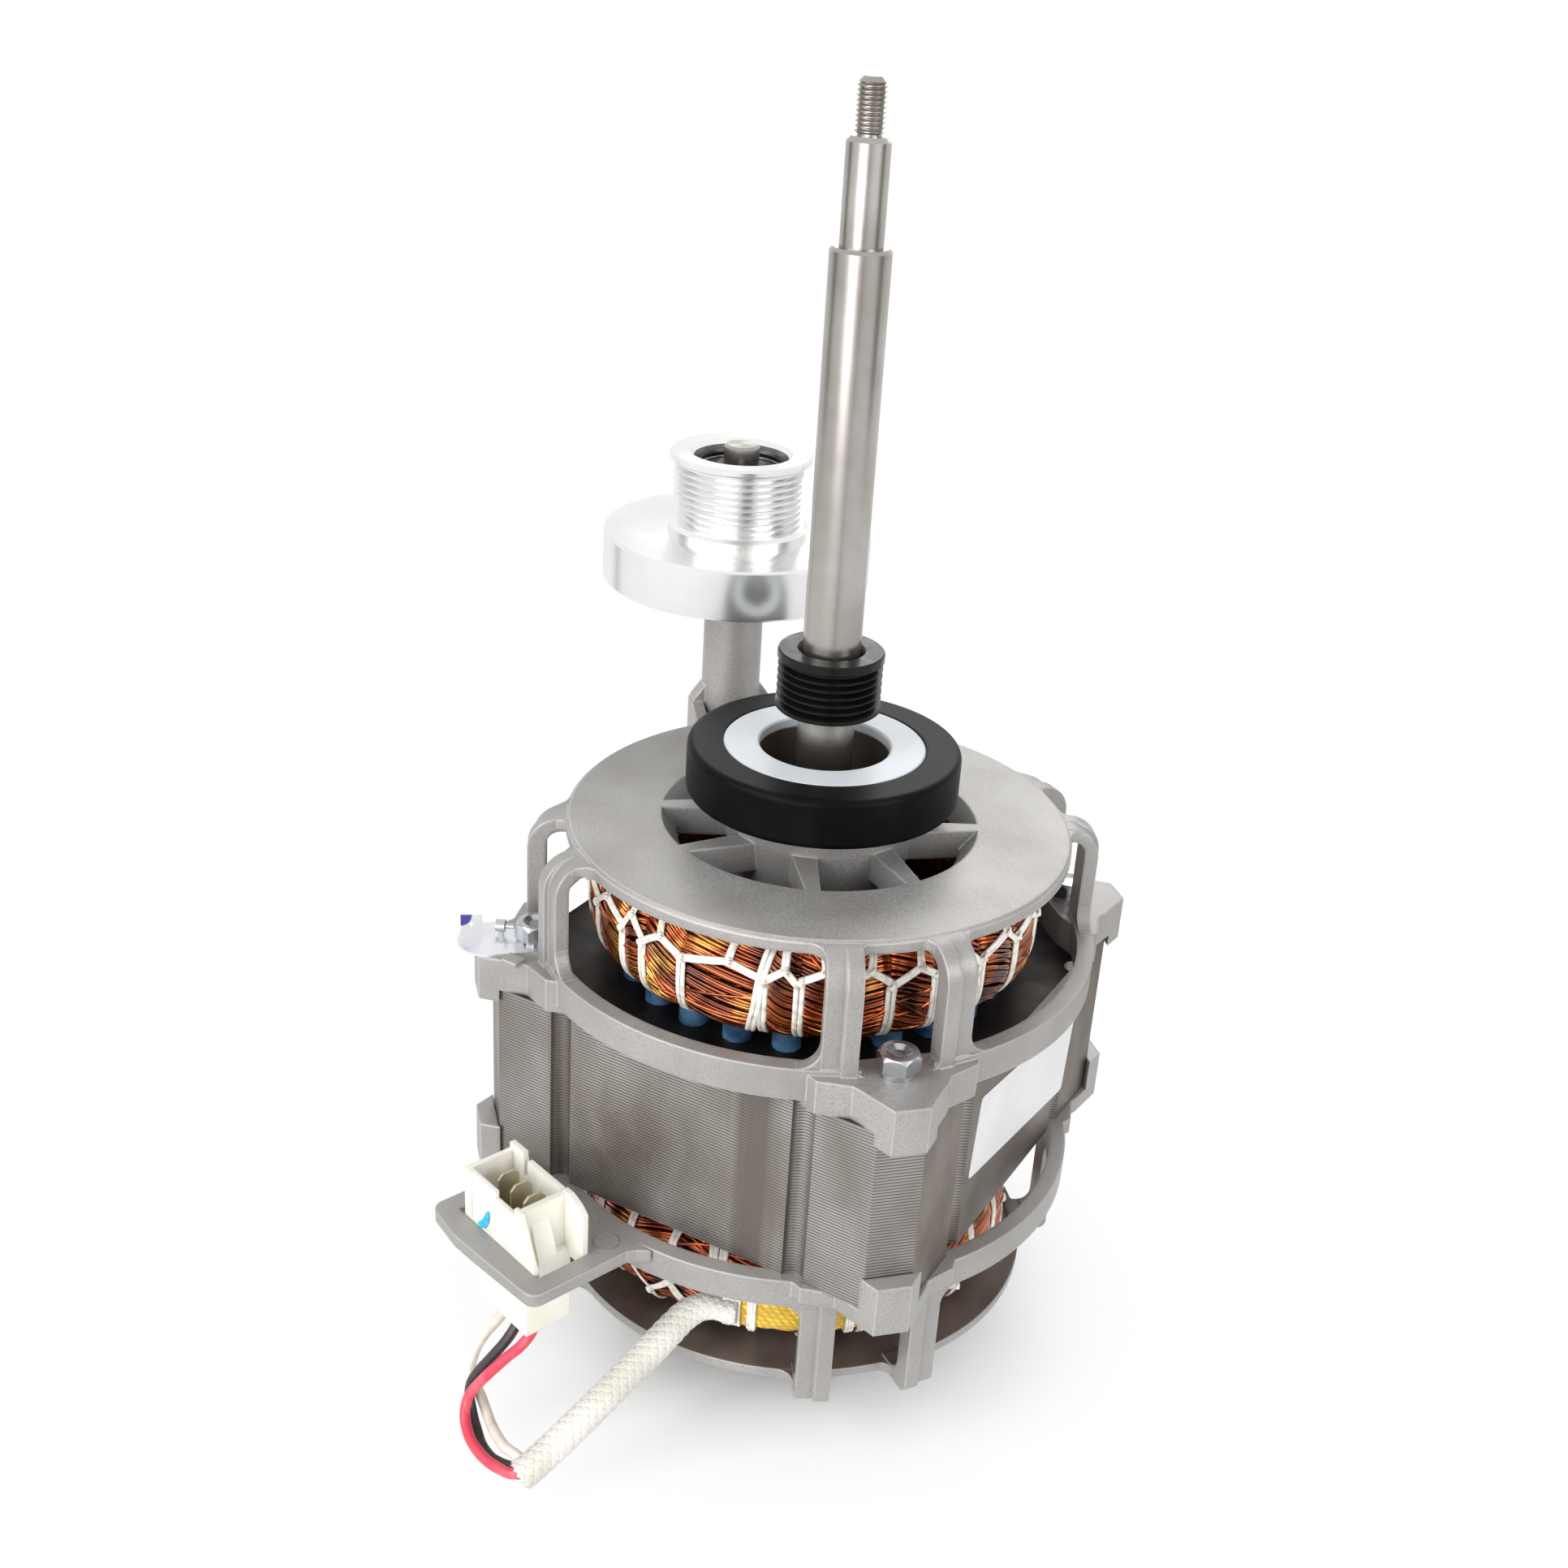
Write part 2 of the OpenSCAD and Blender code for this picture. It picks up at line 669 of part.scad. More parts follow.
// A pair of arms beside the bolt that stands at angle 0, from height low upwards
module arm_pair(corner, low) {
    near_y = ring_r * sin(arm_near);
    far_y = ring_r * sin(arm_far);
    mid_a = (arm_near + arm_far) / 2;
    w = far_y - near_y;
    rib_w = w * 0.45;
    plain_r = ring_r - arm_step;
    for (s = [-1, 1])
        rotate([0, 0, s * mid_a]) {
            translate([0, w / 2, 0])
            rotate([90, 0, 0])
            linear_extrude(w) arm_profile(plain_r, corner, low);
            translate([0, s > 0 ? rib_w - w / 2 : w / 2, 0])
            rotate([90, 0, 0])
            linear_extrude(rib_w) arm_profile(plain_r + arm_rib, corner, low);
        }
}

// Flat plan of the spokes on both sides of the diagonal at angle 0
module spoke_pair_plan() {
    in_r = boss_d / 2 - 2;
    out_r = pocket_d / 2 + 2;
    for (s = [-1, 1])
        polygon([
            [in_r * cos(17.8), s * in_r * sin(17.8)],
            [out_r * cos(15.4), s * out_r * sin(15.4)],
            [out_r * cos(20.2), s * out_r * sin(20.2)],
            [in_r * cos(34.6), s * in_r * sin(34.6)]]);
}

// Everything that both end bells share, z = 0 on the stack and rising outwards. The ring
// starts at ring_low; the ears rise to ear_h and their lips reach down by lip_h.
module bell_casting(ring_low, ring_h, ear_h, lip_h, corner) {
    boss_low = hub_floor - floor_t;
    disc_in = bell_h - disc_t;
    shoulder = hub_end - mount_h;
    tube_end = hub_end - nylon_cap - fit;
    funnel_in = pocket_d / 2 - 5;
    spring_r = pocket_d / 2 + 3;
    seat_half_w = ring_in * sin(arm_near) - 0.4;
    difference() {
        union() {
            // Disc with a funnel round the vent pockets
            rotate_extrude()
            polygon([[pocket_d / 2, bell_h], [disc_d / 2 - 1, bell_h],
                [disc_d / 2, bell_h - 1], [disc_d / 2, disc_in], [spring_r, disc_in],
                [funnel_in + 1.5, disc_in - 3], [funnel_in, disc_in - 2.4]]);
            // Hub: a tapering boss with a narrower tube beyond its shoulder
            translate([0, 0, boss_low])
                cylinder(d1 = boss_d - 5, d2 = boss_d, h = bell_h - boss_low);
            translate([0, 0, bell_h - sink])
                cylinder(d = boss_d, h = shoulder - bell_h + sink);
            translate([0, 0, shoulder - sink])
                cylinder(d = tube_d, h = tube_end - shoulder + sink);
            // Spokes, level with the disc
            translate([0, 0, bell_h - spoke_h])
            linear_extrude(spoke_h)
            at_corners() spoke_pair_plan();
            // Ring, which stops between each corner's two arms above the bolt's seat
            difference() {
                translate([0, 0, ring_low]) ring(2 * ring_r, 2 * ring_in, ring_h);
                at_corners()
                translate([ring_in - 1, -seat_half_w, ear_h - 1])
                    cube([ring_w + 4, 2 * seat_half_w, ring_low + ring_h]);
            }
            // Ears and lips on the stack
            linear_extrude(ear_h)
            mirror_corners() ear_plan();
            translate([0, 0, -lip_h])
            linear_extrude(lip_h + sink)
            mirror_corners() lip_plan();
            // Arms between the ring and the disc
            at_corners() arm_pair(corner, ring_low + 1);
        }
        // Bearing seat and the hole that the shaft passes through
        translate([0, 0, hub_floor]) cylinder(d = bearing_d + 2 * fit, h = hub_end);
        translate([0, 0, boss_low - 1])
            cylinder(d = bearing_d - 14, h = hub_end);
        at_corners()
        translate([bolt_xy * sqrt(2), 0, -1])
        cylinder(d = bolt_hole_d, h = ear_h + 2);
    }
}

// Cradle and post that carry the idler, in the upper bell's frame, along +X
module idler_bracket() {
    wall = 4;
    outer_w = 29;
    root_r = ring_r - 2;
    base_h = upper_ear_h - 1;
    post_h = post_top_z - stack_hi_z;
    cradle_h = bell_h - 6;
    rim_d = outer_w;
    difference() {
        union() {
            cylinder(d = post_d, h = post_h);
            // Floor
            cylinder(d = rim_d, h = base_h);
            translate([root_r - idler_r, -outer_w / 2, 0])
                cube([idler_r - root_r, outer_w, base_h]);
            // Side walls that fall away towards the bell
            for (s = [-1, 1])
                translate([0, s > 0 ? outer_w / 2 : wall - outer_w / 2, 0])
                rotate([90, 0, 0])
                linear_extrude(wall)
                polygon([[root_r - idler_r, 0], [3, 0], [3, cradle_h - 3],
                    [-3, cradle_h - 3], [root_r - idler_r, cradle_h - 14]]);
            // Gussets that lean up to the post
            for (s = [-1, 1])
                rotate([90, 0, 90])
                translate([0, 0, -3])
                linear_extrude(6)
                polygon([[0, cradle_h - 8], [s * outer_w / 2, cradle_h - 8],
                    [s * (outer_w / 2 - 0.7), cradle_h - 2],
                    [s * (post_d / 2 - 1), cradle_h + 4], [0, cradle_h + 4]]);
        }
        // Blind bore that holds the pin
        translate([0, 0, post_h - pin_seat_h])
            cylinder(d = pin_d + 2 * fit, h = pin_seat_h + 1);
        // Pocket between the walls
        translate([root_r - idler_r - 1, -outer_w / 2 + wall, base_h])
            cube([idler_r - root_r + 1 - post_d / 2 - 1, outer_w - 2 * wall, cradle_h]);
    }
}
// Depth to which the pin stands in the post
pin_seat_h = 24;

module top_end_bell() {
    color([0.70, 0.69, 0.67])
    translate([0, 0, stack_hi_z])
    union() {
        bell_casting(upper_ring_lift, upper_ring_h, upper_ear_h, upper_lip, upper_arm_corner);
        difference() {
            rotate([0, 0, 135]) translate([idler_r, 0, 0]) idler_bracket();
            // The bolt and its head stay clear of the bracket
            rotate([0, 0, 135])
            translate([bolt_xy * sqrt(2), 0, -1])
            cylinder(d = washer_d + 2, h = bell_h);
        }
        // Small stop beside the earth tab
        translate([-61, -ear_y + 0.4, upper_ear_h - sink]) cube([5.4, 4.6, 1.6]);
    }
}

// Loop that holds the connector, drawn about the middle of its opening
module connector_loop() {
    end_x = loop_l / 2 + loop_rim;
    side_y = loop_w / 2 + loop_rim;
    corner = 4;
    bulge = 1.6;
    back = 24;
    difference() {
        linear_extrude(loop_t)
        translate([conn_x, conn_y])
        rotate([0, 0, conn_turn])
        union() {
            for (x = [-1, 1])
                translate([x * (end_x - corner), corner - side_y]) circle(r = corner);
            polygon([[-end_x, corner - side_y], [corner - end_x, corner - side_y],
                [corner - end_x, -side_y], [-end_x * 0.4, -side_y - bulge],
                [0, -side_y - bulge * 0.8], [end_x - corner, -side_y],
                [end_x - corner, corner - side_y], [end_x, corner - side_y],
                [end_x, back - 6], [end_x + 1.2, back - 3], [end_x + 4, back],
                [-end_x, back - 10]]);
        }
        translate([conn_x, conn_y, -1])
        rotate([0, 0, conn_turn])
        translate([-loop_l / 2, -loop_w / 2, 0])
            cube([loop_l, loop_w, loop_t + 2]);
        // The ring's own opening stays clear
        translate([0, 0, -1]) cylinder(r = ring_in, h = loop_t + 2);
    }
}

module bottom_end_bell() {
    color([0.70, 0.69, 0.67])
    union() {
        translate([0, 0, stack_lo_z])
        mirror([0, 0, 1])
        bell_casting(0, lower_ring_h, lower_ear_h, lower_lip, lower_arm_corner);
        translate([0, 0, loop_low_z]) connector_loop();
    }
}

module hex_prism(flats, h) {
    cylinder(d = flats / cos(30), h = h, $fn = 6);
}

nut_h = 6.5;
// Depth of the dish in a bolt's head
bolt_dish_h = 0.9;
bolt_low_z = stack_lo_z - lower_ear_h - nut_h - 3;

module clamp_bolts() {
    head_z = stack_hi_z + upper_ear_h + washer_t;
    color([0.78, 0.80, 0.82])
    at_corners()
    translate([bolt_xy * sqrt(2), 0, 0]) {
        translate([0, 0, bolt_low_z + 1])
            cylinder(d = bolt_d, h = head_z - bolt_low_z - 1 + sink);
        translate([0, 0, bolt_low_z]) cylinder(d1 = bolt_d - 2, d2 = bolt_d, h = 1);
        translate([0, 0, head_z])
        difference() {
            intersection() {
                hex_prism(bolt_flats, bolt_head_h);
                cylinder(d1 = bolt_flats + 9, d2 = bolt_flats - 0.4, h = bolt_head_h);
            }
            translate([0, 0, bolt_head_h - bolt_dish_h])
                cylinder(d1 = 0.35 * bolt_flats, d2 = 0.72 * bolt_flats, h = bolt_dish_h + 0.1);
        }
    }
}

// The corner at -X -Y has the tab and its lock washer in place of a flat washer
module bolt_washers() {
    color([0.80, 0.81, 0.83])
    for (a = [45, 135, 315])
        rotate([0, 0, a])
        translate([bolt_xy * sqrt(2), 0, stack_hi_z + upper_ear_h])
        ring(washer_d, bolt_d + 0.4, washer_t);
}

module bolt_nuts() {
    color([0.78, 0.80, 0.82])
    at_corners()
    translate([bolt_xy * sqrt(2), 0, stack_lo_z - lower_ear_h - nut_h])
    difference() {
        hex_prism(bolt_flats, nut_h);
        translate([0, 0, -1]) cylinder(d = bolt_d + 2 * fit, h = nut_h + 2);
    }
}

module lock_washer() {
    teeth = 10;
    color([0.82, 0.82, 0.80])
    translate([-bolt_xy, -bolt_xy, stack_hi_z + upper_ear_h + tab_t])
    difference() {
        union() {
            cylinder(d = washer_d - 2, h = washer_t - tab_t);
            for (i = [0 : teeth - 1])
                rotate([0, 0, i * 360 / teeth])
                translate([0, -1.2, 0])
                cube([washer_d / 2, 2.4, washer_t - tab_t]);
        }
        translate([0, 0, -1]) cylinder(d = bolt_d + 0.4, h = washer_t + 2);
    }
}

// Earth tab: a rounded plate under the bolt with an upright blade at its far end
module earth_tab() {
    tab_z = stack_hi_z + upper_ear_h;
    blade_turn = 36;
    color([0.93, 0.93, 0.94])
    union() {
        translate([0, 0, tab_z])
        linear_extrude(tab_t)
        difference() {
            union() {
                translate([-bolt_xy, -bolt_xy]) circle(r = 8.4);
                translate([-71.6, -68.9]) circle(r = 9.8);
                polygon([[-61, -53.5], [-70.2, -59.2], [-75.4, -77.9], [-66, -77],
                    [-56, -67.6], [-54, -61]]);
            }
            translate([-bolt_xy, -bolt_xy]) circle(d = bolt_d + 0.4);
        }
        translate([-76.8, -71.3, tab_z])
        rotate([0, 0, blade_turn])
        difference() {
            translate([-blade_w / 2, -tab_t / 2, 0]) cube([blade_w, tab_t, blade_h]);
            translate([0, 1, blade_h - 3])
                rotate([90, 0, 0]) cylinder(d = 1.6, h = 2, $fn = 24);
        }
    }
}

// Small headed pin that stands level beside the bolt head
module tab_pin() {
    reach = bolt_flats / cos(30) / 2 + free;
    tab_plane_z = stack_hi_z + upper_ear_h;
    pin_z = tab_plane_z + washer_t + bolt_head_h * 0.45;
    color([0.72, 0.72, 0.72])
    translate([-bolt_xy, -bolt_xy, pin_z])
    rotate([0, 0, 205])
    translate([reach, 0, 0])
    rotate([0, 90, 0]) {
        cylinder(d = 1.5, h = 3, $fn = 32);
        translate([0, 0, 2.6]) cylinder(d = 3.7, h = 2.8, $fn = 48);
        // Foot that stands on the tab
        translate([0, -0.6, 3.2])
            cube([pin_z - tab_plane_z - tab_t, 1.2, 1.4]);
    }
}

// Nylon ring in a bell's own frame, capping the end of the hub
module nylon_ring() {
    base = hub_end - mount_h;
    rotate_extrude()
    polygon([[tube_d / 2 + fit, base], [nylon_d / 2, base], [nylon_d / 2, hub_end - 0.6],
        [nylon_d / 2 - 0.6, hub_end], [nylon_bore / 2 + 0.5, hub_end],
        [nylon_bore / 2, hub_end - 0.5], [nylon_bore / 2, hub_end - nylon_cap],
        [tube_d / 2 + fit, hub_end - nylon_cap]]);
}

// Rubber ring in a bell's own frame, round the nylon one
module rubber_ring() {
    base = hub_end - mount_h;
    edge = 2;
    wall = (rubber_d - nylon_d) / 2 - fit;
    translate([0, 0, base])
    rotate_extrude()
    union() {
        translate([nylon_d / 2 + fit, 0]) square([wall - edge, mount_h]);
        translate([nylon_d / 2 + fit, edge]) square([wall, mount_h - 2 * edge]);
        for (z = [edge, mount_h - edge])
            translate([rubber_d / 2 - edge, z]) circle(r = edge);
    }
}

module upper_nylon_ring() {
    color([0.90, 0.92, 0.94]) translate([0, 0, stack_hi_z]) nylon_ring();
}

module upper_rubber_ring() {
    color([0.10, 0.10, 0.11]) translate([0, 0, stack_hi_z]) rubber_ring();
}

module lower_nylon_ring() {
    color([0.90, 0.92, 0.94])
    translate([0, 0, stack_lo_z]) mirror([0, 0, 1]) nylon_ring();
}

module lower_rubber_ring() {
    color([0.10, 0.10, 0.11])
    translate([0, 0, stack_lo_z]) mirror([0, 0, 1]) rubber_ring();
}

// Ball bearing rings with z = 0 at the lower face; race is the radius of the balls' circle
function race_r(outer_d, inner_d) = (outer_d + inner_d) / 4;

module outer_race(outer_d, inner_d, w, ball) {
    race = race_r(outer_d, inner_d);
    step = (outer_d - inner_d) / 2 * 0.24;
    rotate_extrude()
    difference() {
        translate([outer_d / 2 - step, 0]) square([step, w]);
        translate([race, w / 2]) circle(d = ball + 0.1);
    }
}

module inner_race(outer_d, inner_d, w, ball) {
    race = race_r(outer_d, inner_d);
    step = (outer_d - inner_d) / 2 * 0.24;
    rotate_extrude()
    difference() {
        translate([inner_d / 2, 0]) square([step, w]);
        translate([race, w / 2]) circle(d = ball + 0.1);
    }
}

module ball_set(outer_d, inner_d, w, ball, count) {
    for (i = [0 : count - 1])
        rotate([0, 0, i * 360 / count])
        translate([race_r(outer_d, inner_d), 0, w / 2])
        sphere(d = ball, $fn = 32);
}

// Seal plates seated in the outer ring, clear of the inner one
module seal_pair(outer_d, inner_d, w) {
    step = (outer_d - inner_d) / 2 * 0.24;
    seal_t = 0.8;
    for (z = [0.3, w - 0.3 - seal_t])
        translate([0, 0, z])
        ring(outer_d - 2 * step - 2 * fit, inner_d + 2 * step + 0.6, seal_t);
}

upper_bearing_z = stack_hi_z + bearing_in;
lower_bearing_z = stack_lo_z - hub_floor - bearing_w;

module upper_bearing_outer() {
    color([0.75, 0.76, 0.78])
    translate([0, 0, upper_bearing_z]) outer_race(bearing_d, shaft_d, bearing_w, ball_d);
}

module upper_bearing_inner() {
    color([0.75, 0.76, 0.78])
    translate([0, 0, upper_bearing_z])
    inner_race(bearing_d, shaft_d + 2 * fit, bearing_w, ball_d);
}

module lower_bearing_outer() {
    color([0.75, 0.76, 0.78])
    translate([0, 0, lower_bearing_z]) outer_race(bearing_d, shaft_d, bearing_w, ball_d);
}

module lower_bearing_inner() {
    color([0.75, 0.76, 0.78])
    translate([0, 0, lower_bearing_z])
    inner_race(bearing_d, shaft_d + 2 * fit, bearing_w, ball_d);
}

module bearing_seals() {
    color([0.15, 0.15, 0.16])
    for (z = [upper_bearing_z, lower_bearing_z])
        translate([0, 0, z]) seal_pair(bearing_d, shaft_d, bearing_w);
}

module bearing_balls() {
    color([0.85, 0.86, 0.88])
    for (z = [upper_bearing_z, lower_bearing_z])
        translate([0, 0, z]) ball_set(bearing_d, shaft_d, bearing_w, ball_d, ball_count);
}

// Spring washer that loads the upper bearing, drawn as its pressed height
module wave_washer() {
    color([0.65, 0.66, 0.70])
    translate([0, 0, stack_hi_z + hub_floor])
    ring(bearing_d - 1, bearing_d - 8, wave_h);
}

module connector_housing() {
    plate_z = loop_top_z - conn_low_z;
    right = socket_left + conn_l;
    cavity_l = conn_l - 2 * conn_wall;
    cavity_w = conn_w - 2 * conn_wall;
    wing_t = conn_wall;
    front_reach = 7.4;
    back_reach = 9;
    tongue_w = 6.4;
    tongue_reach = 3.6;
    tongue_h = 11;
    catch_l = 9;
    catch_reach = 1.2;
    post_h = 2;
    post_l = 7;
    color([0.95, 0.93, 0.86])
    translate([conn_x, conn_y, conn_low_z])
    rotate([0, 0, conn_turn])
    difference() {
        union() {
            translate([-conn_foot_l / 2, -conn_foot_w / 2, 0])
                cube([conn_foot_l, conn_foot_w, plate_z - 1]);
            translate([socket_left, -conn_w / 2, plate_z - loop_t - 1.4])
                cube([conn_l, conn_w, conn_h - plate_z + loop_t + 1.4]);
            // Wings that carry the long walls out to the end of the opening
            translate([right, -conn_w / 2 + wing_t, 0])
            rotate([90, 0, 0])
            linear_extrude(wing_t)
            polygon([[-1, plate_z - loop_t], [front_reach, plate_z - loop_t],
                [front_reach, plate_z], [0.4, conn_h], [-1, conn_h]]);
            translate([right, conn_w / 2, 0])
            rotate([90, 0, 0])
            linear_extrude(wing_t)
            polygon([[-1, plate_z - loop_t], [back_reach, plate_z - loop_t],
                [back_reach, conn_h - 3], [back_reach - 3, conn_h - 0.6],
                [2, conn_h + 0.8], [-1, conn_h + 0.8]]);
            // Latch tongue, proud at its foot
            translate([right, tongue_w / 2 - 1.4, 0])
            rotate([90, 0, 0])
            linear_extrude(tongue_w)
            polygon([[-1, plate_z - 2], [tongue_reach, plate_z - 2], [tongue_reach, plate_z],
                [0, plate_z + tongue_h], [-1, plate_z + tongue_h]]);
            // Catches under the loop and a shoulder on top of it, at the back
            translate([-catch_l / 2, -conn_w / 2 - catch_reach, plate_z - loop_t - 1.4])
                cube([catch_l, conn_w + 2 * catch_reach, 1.4]);
            translate([-catch_l, conn_w / 2 - 1, plate_z])
                cube([2 * catch_l, 1 + 2 * catch_reach, 1.6]);
            // Raised post on the keyed corner
            translate([socket_left, conn_w / 2 - conn_wall, conn_h - 1])
                cube([post_l, conn_wall, post_h + 1]);
        }
        translate([socket_left + conn_wall, -cavity_w / 2, conn_h - conn_depth])
            cube([cavity_l, cavity_w, conn_depth + post_h + 1]);
        // Front wall set back beside its end post, and notched in the middle
        translate([socket_left + 3.4, -conn_w / 2 - 1, plate_z + 1])
            cube([conn_l - 3.4 + front_reach + 1, 1.5, conn_h]);
        translate([-1.6, -conn_w / 2 - 1, conn_h - 2.4])
            cube([9.4, conn_wall + 2, 3]);
        // Slit in the back wall
        translate([-9.6, conn_w / 2 - conn_wall - 1, conn_h - 6])
            cube([1.6, conn_wall + 2, 9]);
    }
}

module connector_contacts() {
    blade_t = 0.8;
    contact_w = 7.2;
    contact_h = 19;
    corner = 1.6;
    foot = 2.6;
    floor_z = conn_top_z - conn_depth;
    middle = socket_left + conn_l / 2 + 1.2;
    color([0.72, 0.68, 0.58])
    translate([conn_x, conn_y, floor_z])
    rotate([0, 0, conn_turn])
    for (i = [-1 : 1])
        translate([middle + i * contact_pitch, 0.6, 0]) {
            rotate([90, 0, 90])
                translate([0, 0, -blade_t / 2])
                linear_extrude(blade_t)
                polygon([[-contact_w / 2, 0], [contact_w / 2, 0],
                    [contact_w / 2, contact_h - corner], [contact_w / 2 - corner, contact_h],
                    [corner - contact_w / 2, contact_h],
                    [-contact_w / 2, contact_h - corner]]);
            translate([-foot / 2, -contact_w / 2 - 0.5, 0])
                cube([foot, contact_w + 1, 5]);
        }
}

module lead_sleeve() {
    color([0.93, 0.92, 0.89]) tube(sleeve_route, sleeve_d, 12, [0, 0, 1]);
}

module lead_white() {
    color([0.92, 0.90, 0.86]) tube(white_route, lead_d, 8, [0.3, -0.6, 0.1]);
}

module lead_black() {
    color([0.15, 0.14, 0.15]) tube(black_route, lead_d, 8, [0.3, -0.6, 0.1]);
}

module lead_red() {
    color([0.85, 0.20, 0.28]) tube(red_route, lead_d, 8, [0.3, -0.6, 0.1]);
}

// Blank rating label on the +X side of the stack
module rating_label() {
    corner = 1.5;
    color([0.96, 0.96, 0.96])
    translate([half_x, 7, stack_lo_z + label_up])
    rotate([label_tilt, 0, 0])
    rotate([90, 0, 90])
    linear_extrude(label_t)
    union() {
        square([label_l, label_h - 2 * corner], center = true);
        square([label_l - 2 * corner, label_h], center = true);
        for (x = [-1, 1], y = [-1, 1])
            translate([x * (label_l / 2 - corner), y * (label_h / 2 - corner)])
            circle(r = corner);
    }
}

module at_idler() {
    translate([idler_x, idler_y, 0]) children();
}

// Bearing seats on the pin: spacer on the post, two bearings, then the circlip
spacer_h = lower_idler_bearing_z - post_top_z;
circlip_z = upper_idler_bearing_z + idler_bearing_w;
circlip_t = 1;
circlip_groove_d = pin_d - 1.2;

module idler_pin() {
    low_z = post_top_z - pin_seat_h;
    chamfer = 0.8;
    color([0.62, 0.61, 0.59])
    at_idler()
    rotate_extrude()
    polygon([[0, low_z], [pin_d / 2, low_z], [pin_d / 2, circlip_z],
        [circlip_groove_d / 2, circlip_z], [circlip_groove_d / 2, circlip_z + circlip_t],
        [pin_d / 2, circlip_z + circlip_t], [pin_d / 2, pin_top_z - chamfer],
        [pin_d / 2 - chamfer, pin_top_z], [0, pin_top_z]]);
}

module idler_spacer() {
    color([0.70, 0.70, 0.70])
    at_idler()
    translate([0, 0, post_top_z])
    ring(pin_d + 5, pin_d + 2 * fit, spacer_h);
}

module idler_circlip() {
    gap_w = 4;
    color([0.14, 0.13, 0.13])
    at_idler()
    translate([0, 0, circlip_z])
    difference() {
        ring(pin_d + 4.4, circlip_groove_d + 2 * fit, circlip_t);
        rotate([0, 0, 100])
        translate([0, -gap_w / 2, -1])
        cube([pin_d, gap_w, circlip_t + 2]);
    }
}

idler_ball_d = 4.8;
idler_ball_count = 9;
idler_bearings_z = [lower_idler_bearing_z, upper_idler_bearing_z];

module idler_bearing_inner() {
    color([0.75, 0.76, 0.78])
    at_idler()
    for (z = idler_bearings_z)
        translate([0, 0, z])
        inner_race(idler_bearing_d, pin_d + 2 * fit, idler_bearing_w, idler_ball_d);
}

module idler_bearing_outer() {
    color([0.75, 0.76, 0.78])
    at_idler()
    for (z = idler_bearings_z)
        translate([0, 0, z])
        outer_race(idler_bearing_d, pin_d, idler_bearing_w, idler_ball_d);
}

module idler_bearing_seals() {
    color([0.10, 0.10, 0.11])
    at_idler()
    for (z = idler_bearings_z)
        translate([0, 0, z]) seal_pair(idler_bearing_d, pin_d, idler_bearing_w);
}

module idler_balls() {
    color([0.85, 0.86, 0.88])
    at_idler()
    for (z = idler_bearings_z)
        translate([0, 0, z])
        ball_set(idler_bearing_d, pin_d, idler_bearing_w, idler_ball_d, idler_ball_count);
}

snap_ring_t = 1.2;
snap_groove_d = idler_bearing_d + 2;

// Ring that holds the upper bearing in the pulley's bore
module idler_snap_ring() {
    color([0.55, 0.55, 0.56])
    at_idler()
    translate([0, 0, circlip_z])
    difference() {
        ring(snap_groove_d - 2 * fit, idler_bearing_d - 3, snap_ring_t - 0.1);
        rotate([0, 0, -60])
        translate([0, -3, -1])
        cube([idler_bearing_d, 6, snap_ring_t + 2]);
    }
}

// Outline of ribbed rim, from its first groove at height z0: radius falls to the groove floor
function rib_outline(z0, count, out_r, cut) =
    [for (i = [0 : count - 1])
        let (z = z0 + i * groove_pitch)
        each [[out_r, z + 0.15], [out_r - cut, z + groove_pitch / 2 - 0.2],
            [out_r - cut, z + groove_pitch / 2 + 0.2], [out_r, z + groove_pitch - 0.15]]];

module idler_pulley() {
    edge = 0.8;
    bore_r = idler_bearing_d / 2 + fit;
    lip_r = idler_bearing_d / 2 - 2.5;
    drum_edge_r = drum_d / 2;
    flange_r = rib_flange_d / 2;
    snap_r = snap_groove_d / 2;
    lower_bearing_top = lower_idler_bearing_z + idler_bearing_w;
    color([0.86, 0.87, 0.88])
    at_idler()
    rotate_extrude()
    polygon(concat(
        [[bore_r, drum_z], [drum_edge_r - edge, drum_z], [drum_edge_r, drum_z + edge],
            [drum_edge_r, rib_z - edge], [drum_edge_r - edge, rib_z],
            [flange_r, rib_z], [flange_r, rib_z + rib_base - 1.2],
            [rib_d / 2, rib_z + rib_base]],
        rib_outline(rib_z + rib_base, rib_grooves, rib_d / 2, groove_cut),
        [[rib_d / 2, idler_top_z - rib_flange], [flange_r, idler_top_z - rib_flange + 1],
            [flange_r, idler_top_z - edge], [flange_r - edge, idler_top_z],
            [bore_r + 1.6, idler_top_z], [bore_r, idler_top_z - 1.6],
            [bore_r, circlip_z + snap_ring_t], [snap_r, circlip_z + snap_ring_t],
            [snap_r, circlip_z], [bore_r, circlip_z], [bore_r, upper_idler_bearing_z],
            [lip_r, upper_idler_bearing_z], [lip_r, lower_bearing_top],
            [bore_r, lower_bearing_top]]));
}

module drive_pulley() {
    out_r = drive_d / 2;
    bore_r = shaft_d / 2 + fit;
    sink_r = bore_r + 1.5;
    edge = 0.5;
    low = drive_z;
    high = drive_z + drive_h;
    color([0.09, 0.09, 0.10])
    rotate_extrude()
    polygon(concat(
        [[bore_r, low], [out_r - edge, low], [out_r, low + edge], [out_r, low + drive_base]],
        rib_outline(low + drive_base, drive_grooves, out_r - 0.3, groove_cut),
        [[out_r, high - drive_flange + 0.1], [out_r, high - edge], [out_r - edge, high],
            [sink_r, high], [bore_r, high - 2]]));
}

